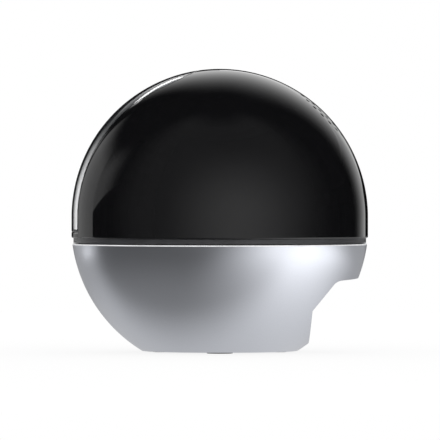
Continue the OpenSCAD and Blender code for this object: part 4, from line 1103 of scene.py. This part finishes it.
def make_feet():
    """Four rubber pads with a rounded edge and a ring of shallow grip grooves."""
    low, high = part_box("foot_pads")
    radius, edge = 4.5 * MM, 0.25 * MM
    ring = high.x - radius
    outline = [(0, high.z), (radius, high.z), (radius, low.z + edge)]
    outline += arc((radius - edge, low.z + edge), edge, 0, -math.pi / 2, 4)[1:]
    slant, groove = 0.12 * MM, 0.14 * MM
    for r in (3.4 * MM, 2.6 * MM, 1.8 * MM, 1.0 * MM):
        outline += [(r + slant, low.z), (r, low.z + groove), (r - slant, low.z)]
    outline.append((0, low.z))
    pads = [lathe("pad", outline, 72, Matrix.Translation((ring * math.cos(a), ring * math.sin(a), 0)))
            for a in (0, math.pi / 2, math.pi, 3 * math.pi / 2)]
    add_piece("grip_pads", polish(joined("grip_pads", pads)), "foot_rubber", "base", "foot_pads")


def make_tripod_thread(sizes):
    """The brass insert with its cut thread: a wave in the bore that climbs one pitch a turn."""
    low, high = INSERT_LOW.z, INSERT_HIGH.z
    outer, major, depth = INSERT_HIGH.x, 3.175 * MM, 0.55 * MM
    run_out, bevel, countersink, steps = 0.5 * MM, 0.2 * MM, 0.3 * MM, 96

    def bore(turn, height):
        phase = (height / sizes.thread_pitch - turn) % 1.0
        ends = min(1.0, (height - low) / run_out, (high - height) / run_out)
        return major - depth * ends * (1 - abs(2 * phase - 1)) ** 0.9

    def ring(height, radius=None):
        points = []
        for k in range(steps):
            turn, reach = 2 * math.pi * k / steps, radius or bore(k / steps, height)
            points.append(Vector((reach * math.cos(turn), reach * math.sin(turn), height)))
        return points

    rings = [ring(height) for height in steps_between(low, high, 76)]
    rings += [ring(high, outer - bevel), ring(high - bevel, outer), ring(low + bevel, outer),
              ring(low, outer - bevel), ring(low, major + countersink)]
    insert = polish(loft("thread_insert", rings), angle=math.radians(40))
    add_piece("thread_insert", insert, "machined_brass", "base", "tripod_insert")


# Finishes of the CAD nodes

NODE_FINISHES = {
    "piano_black": ("dome",),
    "smoked_plastic": ("front_window",),
    "metallic_silver": ("base_shell",),
    "rim_plastic": ("turntable",),
    "moulded_plastic": ("base_cover", "bearing_frame", "yoke", "eye_front", "eye_rear", "speaker_bracket",
                        "slip_ring_case", "reset_button", "card_socket", "power_socket", "memory_card"),
    "foot_rubber": ("foot_pads", "window_gasket"),
    "speaker_foam": ("speaker_gasket",),
    "zinc_steel": ("cover_screws", "board_screws", "motor_screws", "frame_screws", "gear_screws",
                   "dome_screws", "yoke_screws", "tilt_motor_screws", "head_board_screws", "speaker_screws",
                   "eye_screws", "ballast_plate", "shield_can", "pan_motor", "tilt_motor", "hub_nut"),
    "bearing_steel": ("bearing_outer_ring", "bearing_inner_ring", "bearing_balls", "pan_shaft",
                      "tilt_shaft", "tilt_pins"),
    "machined_brass": ("tripod_insert", "slip_ring_core", "bearing_cage"),
    "natural_nylon": ("pan_gear", "pan_pinion", "tilt_gear", "tilt_pinion", "tilt_bushings"),
    "circuit_board": ("main_board", "head_board", "sensor_and_lamps"),
    "cast_aluminium": ("heat_sink",),
    "capacitor_sleeve": ("capacitors",),
    "switch_shell": ("reset_switch", "microphone"),
    "speaker_cone": ("speaker",),
    "woven_mesh": ("speaker_mesh",),
    "wire_insulation": ("motor_lead",),
    "lens_barrel": ("lens_barrel",),
    "lens_coating": ("lens_glass",),
}


def make_finishes(colours):
    piano_black(tuple(colours.dome))
    metallic_silver(tuple(colours.silver))
    smoked_plastic(tuple(colours.smoke))
    moulded_plastic("moulded_plastic", tuple(colours.dark_plastic))
    moulded_plastic("rim_plastic", tuple(colours.rim), 0.42)
    moulded_plastic("speaker_cone", (0.02, 0.02, 0.022), 0.62)
    moulded_plastic("capacitor_sleeve", (0.03, 0.05, 0.12), 0.35)
    moulded_plastic("lens_barrel", (0.012, 0.012, 0.013), 0.38)
    soft_rubber("foot_rubber", tuple(colours.rubber))
    soft_rubber("speaker_foam", (0.03, 0.03, 0.032))
    plated_steel("zinc_steel", tuple(colours.steel))
    plated_steel("switch_shell", (0.5, 0.5, 0.48), 0.34)
    plated_steel("cast_aluminium", (0.62, 0.63, 0.65), 0.45)
    turned_metal("bearing_steel", (0.6, 0.61, 0.63), 0.14)
    turned_metal("machined_brass", tuple(colours.brass))
    turned_metal("gold_contact", (0.83, 0.62, 0.28), 0.22)
    # Painted highlight: a pale finish for the faces of the base's upper edge, standing in for light caught
    # there.
    moulded_plastic("painted_highlight_edge", (0.86, 0.865, 0.88), 0.3)
    moulded_plastic("button_plastic", (0.5, 0.51, 0.53), 0.42)
    natural_nylon(tuple(colours.nylon))
    circuit_board(tuple(colours.board))
    woven_mesh()
    wire_insulation()
    lens_coating()
    for name, nodes in NODE_FINISHES.items():
        for node in nodes:
            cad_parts[node].data.materials.clear()
            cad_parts[node].data.materials.append(finish_of(name))


# Stage

SENSOR_WIDTH = 36
LENS_DISTANCE = 2.6
FRAME_WIDTH = 0.1514
EYE_LEVEL = math.radians(0.55)
AIM = Vector((0, 0.00008, 0.0454))
# The table's painted light, which only reflections see, falls off towards this azimuth, between these
# distances and levels.
DIM_SIDE = -25.4
DIM_REACH = (53.2 * MM, 24.7 * MM)
PAINTED_DIM_LEVELS = (0.12, 0.43)
# How much of the table the camera sees as white backdrop; the rest keeps the object's shadow.
BACKDROP_SHARE = 0.85
ROOM_LIGHT, WHITE_LIGHT = 0.9, 1.0
# Painted pools of light and shade on the table top, which only reflections see: middle, outer radius,
# radius of full strength, strength.
PAINTED_LIGHT_POOLS = (
    (Vector((111, 179.5, 0)) * MM, 217 * MM, 45 * MM, 1.54),
    (Vector((-6, -6, 0)) * MM, 144 * MM, 0, 0.20),
    (Vector((-8.5, 96.6, 0)) * MM, 89 * MM, 0, -0.37),
    (Vector((-109.5, -222, 0)) * MM, 48 * MM, 42 * MM, 1.45),
)
# Softboxes: azimuths, lowest and highest elevation at the first and at the last of them, strength,
# shares over which the light fades at the first and last side, below and above, distance.
SOFTBOXES = (
    ("left_strip", (-143, -114.4), (-12, 38), (-12, 34), 0.56, (0.1, 0, 0, 0.35), 0.90),
    ("left_wall", (-114.4, -88), (1.2, 34), (18.2, 46), 0.44, (0, 0.7, 0.04, 0.6), 0.91),
    ("window_strip", (-161, -144), (-0.87, 24), (-0.87, 25), 2.9, (1.0, 0, 0, 0.85), 0.92),
    ("window_strip_low", (-163, -141), (-12, -0.9), (-12, -0.9), 0.4, (0.4, 0.1, 0, 0), 0.92),
    ("window_streak", (-174, -151.5), (24.4, 28.0), (28.4, 33.0), 3.8, (0.15, 0.25, 0.15, 0.2), 0.93),
    ("rear_wall", (124, 212), (18.5, 72), (18.5, 72), 1.2, (0.5, 0.35, 0.03, 0.85), 0.94),
    ("right_wall", (126, 154), (-12, 21), (-12, 21), 0.8, (0.95, 0, 0, 0.08), 0.95),
    ("rear_fill", (154, 180), (3, 20.6), (18, 20.6), 1.0, (0, 0, 0.1, 0.12), 0.955),
    ("front_glow", (-50, 80), (-4, 60), (-4, 60), 0.6, (0.5, 0.5, 0, 0.9), 0.96),
    ("front_wall", (-95, 100), (-4, 86), (-4, 86), 0.14, (0.2, 0.2, 0, 0.2), 0.97),
)


class StageFinish(Nodes):
    """A material of the stage, with nodes of its own."""

    def __init__(self, name):
        self.material = bpy.data.materials.new(name)
        self.material.use_nodes = True
        super().__init__(self.material.node_tree)
        self.tree.nodes.clear()

    def surface(self, shader):
        self.link(shader, self.add("ShaderNodeOutputMaterial").inputs["Surface"])
        return self.material

    def measure(self, operation, vector):
        """A measure of the place on the piece against a fixed vector."""
        node = self.add("ShaderNodeVectorMath", operation=operation)
        self.set(node, 1, vector)
        self.link(self.add("ShaderNodeTexCoord").outputs["Object"], node.inputs[0])
        return node.outputs["Value"]


def panel_material(name, strength, fades):
    """A softbox's face: even light that fades towards its sides and its lower and upper edge."""
    finish = StageFinish(name)
    split = finish.add("ShaderNodeSeparateXYZ")
    finish.link(finish.add("ShaderNodeTexCoord").outputs["UV"], split.inputs["Vector"])
    level = strength
    sides = (("X", 0, 1), ("X", 1, -1), ("Y", 0, 1), ("Y", 1, -1))
    for (axis, edge, inwards), width in zip(sides, fades):
        if width > 0:
            fade = finish.ramp(split.outputs[axis], 0.0, 1.0, edge, edge + inwards * width, smooth=True)
            level = finish.maths("MULTIPLY", fade, level)
    light = finish.add("ShaderNodeEmission")
    finish.feed(level, light.inputs["Strength"])
    both = finish.add("ShaderNodeAddShader")
    finish.link(light.outputs["Emission"], both.inputs[0])
    finish.link(finish.add("ShaderNodeBsdfTransparent").outputs["BSDF"], both.inputs[1])
    return finish.surface(both.outputs["Shader"])


def direction(azimuth, elevation):
    """From the dome's middle: azimuth 0 is towards the lens and 90 is towards the photo's right."""
    a, e = math.radians(azimuth), math.radians(elevation)
    return Vector((math.cos(a) * math.cos(e), math.sin(a) * math.cos(e), math.sin(e)))


def softbox(name, azimuths, first_edge, last_edge, strength, fades, reach, steps=24):
    """A curved panel round the object, facing it. Each edge is its (lowest, highest) elevation."""
    shares = steps_between(0, 1, steps)
    coords = [(u, v) for v in shares for u in shares]
    points = []
    for u, v in coords:
        azimuth = azimuths[0] + (azimuths[1] - azimuths[0]) * u
        low, high = (first + (last - first) * u for first, last in zip(first_edge, last_edge))
        points.append(Vector((0, 0, DOME_CENTRE_Z)) + reach * direction(azimuth, low + (high - low) * v))
    row = steps + 1
    starts = [j * row + i for j in range(steps) for i in range(steps)]
    mesh = bpy.data.meshes.new(name)
    mesh.from_pydata([tuple(p) for p in points], [], [(k, k + 1, k + row + 1, k + row) for k in starts])
    layer = mesh.uv_layers.new(name="UVMap")
    for loop in mesh.loops:
        layer.data[loop.index].uv = coords[loop.vertex_index]
    mesh.materials.append(panel_material(name, strength, fades))
    return stage_piece(name, mesh)


def stage_piece(name, mesh):
    piece = bpy.data.objects.new(name, mesh)
    bpy.context.scene.collection.objects.link(piece)
    piece.visible_camera = False
    return piece


def flag_shell():
    """A black shell round the set that only reflections see, as black cards round a glossy object."""
    finish = StageFinish("black_card")
    shader = finish.add("ShaderNodeBsdfDiffuse")
    finish.set(shader, "Color", (0.004, 0.004, 0.004, 1))
    radius = 1.6
    outline = [(0, -radius)] + arc((0, 0), radius, -math.pi / 2, math.pi / 2, 24)[1:-1] + [(0, radius)]
    mesh = lathe("black_cards", outline, 48)
    mesh.materials.append(finish.surface(shader.outputs["BSDF"]))
    shell = stage_piece("black_cards", mesh)
    shell.visible_diffuse = False
    shell.visible_transmission = False
    shell.visible_shadow = False


def table_material():
    """White for the camera and matte for the object's shadow, and nothing from below.

    Reflections see painted light on it: an emission that falls off on the dim side of the set and rises and
    sinks in painted pools of light and shade."""
    finish = StageFinish("white_table")
    # Painted light for glossy rays: a falloff towards the dim side plus painted pools of light and shade.
    across = finish.measure("DOT_PRODUCT", direction(DIM_SIDE, 0))
    painted_light = finish.ramp(across, *PAINTED_DIM_LEVELS, *DIM_REACH, smooth=True)
    for spot, reach, full, strength in PAINTED_LIGHT_POOLS:
        painted_pool = finish.ramp(finish.measure("DISTANCE", spot), 0.0, strength, reach, full, smooth=True)
        painted_light = finish.maths("ADD", painted_light, painted_pool)
    matte = finish.add("ShaderNodeBsdfDiffuse")
    finish.set(matte, "Color", (0.9, 0.9, 0.9, 1))
    painted_glow, white = finish.add("ShaderNodeEmission"), finish.add("ShaderNodeEmission")
    finish.link(painted_light, painted_glow.inputs["Strength"])
    path = finish.add("ShaderNodeLightPath")
    seen = finish.maths("MULTIPLY", path.outputs["Is Camera Ray"], BACKDROP_SHARE)
    direct = finish.mixed(seen, matte.outputs["BSDF"], white.outputs["Emission"])
    # Glossy rays see the painted light in place of the lit table.
    above = finish.mixed(path.outputs["Is Glossy Ray"], direct, painted_glow.outputs["Emission"])
    behind = finish.add("ShaderNodeNewGeometry").outputs["Backfacing"]
    clear = finish.add("ShaderNodeBsdfTransparent").outputs["BSDF"]
    return finish.surface(finish.mixed(behind, above, clear))


def make_floor():
    """A round white table top."""
    radius, steps = 0.6, 96
    rim = arc((0, 0), radius, 0, 2 * math.pi, steps)[:-1]
    mesh = bpy.data.meshes.new("table_top")
    mesh.from_pydata([(*p, 0) for p in rim], [], [tuple(range(steps))])
    mesh.materials.append(table_material())
    stage_piece("table_top", mesh).visible_camera = True


def make_world():
    """White to the camera, to reflections and through the window, and room light elsewhere."""
    world = bpy.data.worlds.new("studio")
    bpy.context.scene.world = world
    world.use_nodes = True
    nodes = Nodes(world.node_tree)
    nodes.tree.nodes.clear()
    path = nodes.add("ShaderNodeLightPath")
    seen = path.outputs["Is Camera Ray"]
    for name in ("Is Glossy Ray", "Is Transmission Ray"):
        seen = nodes.maths("MAXIMUM", seen, path.outputs[name])
    lights = []
    for strength in (ROOM_LIGHT, WHITE_LIGHT):
        light = nodes.add("ShaderNodeBackground")
        nodes.set(light, "Color", (1, 1, 1, 1))
        nodes.set(light, "Strength", strength)
        lights.append(light.outputs["Background"])
    nodes.link(nodes.mixed(seen, *lights), nodes.add("ShaderNodeOutputWorld").inputs["Surface"])


def make_lights():
    for values in SOFTBOXES:
        softbox(*values)


def make_camera():
    camera = bpy.data.objects.new("lens", bpy.data.cameras.new("lens"))
    bpy.context.scene.collection.objects.link(camera)
    bpy.context.scene.camera = camera
    camera.data.sensor_width = SENSOR_WIDTH
    camera.data.lens = SENSOR_WIDTH * LENS_DISTANCE / FRAME_WIDTH
    camera.data.clip_end = 20
    back = Vector((math.cos(EYE_LEVEL), 0, math.sin(EYE_LEVEL)))
    camera.location = AIM + LENS_DISTANCE * back
    camera.rotation_mode = "QUATERNION"
    camera.rotation_quaternion = (-back).to_track_quat("-Z", "Y")
    bpy.context.scene.view_settings.view_transform = "Standard"


# Operators

class DESKCAM_OT_finishes(Operator):
    """Make the finishes and give every CAD node its own"""
    bl_idname = "deskcam.finishes"
    bl_label = "Finishes"

    def execute(self, context):
        make_finishes(context.scene.camera_colours)
        return {"FINISHED"}


class DESKCAM_OT_dome(Operator):
    """Build the glossy dome with its window opening and grille"""
    bl_idname = "deskcam.dome"
    bl_label = "Dome"

    def execute(self, context):
        make_dome(context.scene.camera_sizes)
        make_dome_bosses(context.scene.camera_sizes)
        return {"FINISHED"}


class DESKCAM_OT_window(Operator):
    """Build the smoked window pane"""
    bl_idname = "deskcam.window"
    bl_label = "Window"

    def execute(self, context):
        make_window(context.scene.camera_sizes)
        return {"FINISHED"}


class DESKCAM_OT_base(Operator):
    """Build the silver base with its rear notch"""
    bl_idname = "deskcam.base"
    bl_label = "Base"

    def execute(self, context):
        make_base(context.scene.camera_sizes, context.scene.camera_notch)
        make_base_posts(context.scene.camera_sizes, context.scene.camera_notch)
        return {"FINISHED"}


class DESKCAM_OT_feet(Operator):
    """Build the four grip pads"""
    bl_idname = "deskcam.feet"
    bl_label = "Grip pads"

    def execute(self, context):
        make_feet()
        return {"FINISHED"}


class DESKCAM_OT_thread(Operator):
    """Build the tripod insert with its thread"""
    bl_idname = "deskcam.thread"
    bl_label = "Tripod thread"

    def execute(self, context):
        make_tripod_thread(context.scene.camera_sizes)
        return {"FINISHED"}


class DESKCAM_OT_socket(Operator):
    """Build the power socket with its pin and spring"""
    bl_idname = "deskcam.socket"
    bl_label = "Power socket"

    def execute(self, context):
        make_socket()
        return {"FINISHED"}


class DESKCAM_OT_card(Operator):
    """Build the memory card with its contacts"""
    bl_idname = "deskcam.card"
    bl_label = "Memory card"

    def execute(self, context):
        make_card()
        return {"FINISHED"}


class DESKCAM_OT_button(Operator):
    """Build the reset button"""
    bl_idname = "deskcam.button"
    bl_label = "Reset button"

    def execute(self, context):
        make_button()
        return {"FINISHED"}


class DESKCAM_OT_lens(Operator):
    """Build the iris and the second lens"""
    bl_idname = "deskcam.lens"
    bl_label = "Lens stack"

    def execute(self, context):
        make_lens_stack()
        return {"FINISHED"}


class DESKCAM_OT_stage(Operator):
    """Set up the table, the softboxes, the world and the camera"""
    bl_idname = "deskcam.stage"
    bl_label = "Stage"

    def execute(self, context):
        make_world()
        make_floor()
        flag_shell()
        make_lights()
        make_camera()
        return {"FINISHED"}


OPERATORS = (DESKCAM_OT_finishes, DESKCAM_OT_dome, DESKCAM_OT_window, DESKCAM_OT_base, DESKCAM_OT_feet,
             DESKCAM_OT_thread, DESKCAM_OT_socket, DESKCAM_OT_card, DESKCAM_OT_button, DESKCAM_OT_lens,
             DESKCAM_OT_stage)


class DESKCAM_PT_panel(Panel):
    """Sizes, colours and build steps of the desk camera"""
    bl_label = "Desk Camera"
    bl_idname = "DESKCAM_PT_panel"
    bl_space_type = "VIEW_3D"
    bl_region_type = "UI"
    bl_category = "Desk Camera"

    def draw(self, context):
        column = self.layout.column()
        scene = context.scene
        for group in (scene.camera_sizes, scene.camera_notch, scene.camera_colours):
            for name in group.__annotations__:
                column.prop(group, name)
        for operator in OPERATORS:
            column.operator(operator.bl_idname)


CLASSES = (CameraSizes, CameraNotch, CameraColours) + OPERATORS + (DESKCAM_PT_panel,)


def register():
    for item in CLASSES:
        bpy.utils.register_class(item)
    bpy.types.Scene.camera_sizes = PointerProperty(type=CameraSizes)
    bpy.types.Scene.camera_notch = PointerProperty(type=CameraNotch)
    bpy.types.Scene.camera_colours = PointerProperty(type=CameraColours)


def unregister():
    del bpy.types.Scene.camera_colours
    del bpy.types.Scene.camera_notch
    del bpy.types.Scene.camera_sizes
    for item in reversed(CLASSES):
        bpy.utils.unregister_class(item)


def main():
    register()
    for operator in OPERATORS:
        group, name = operator.bl_idname.split(".")
        getattr(getattr(bpy.ops, group), name)()


if __name__ == "__main__":
    main()
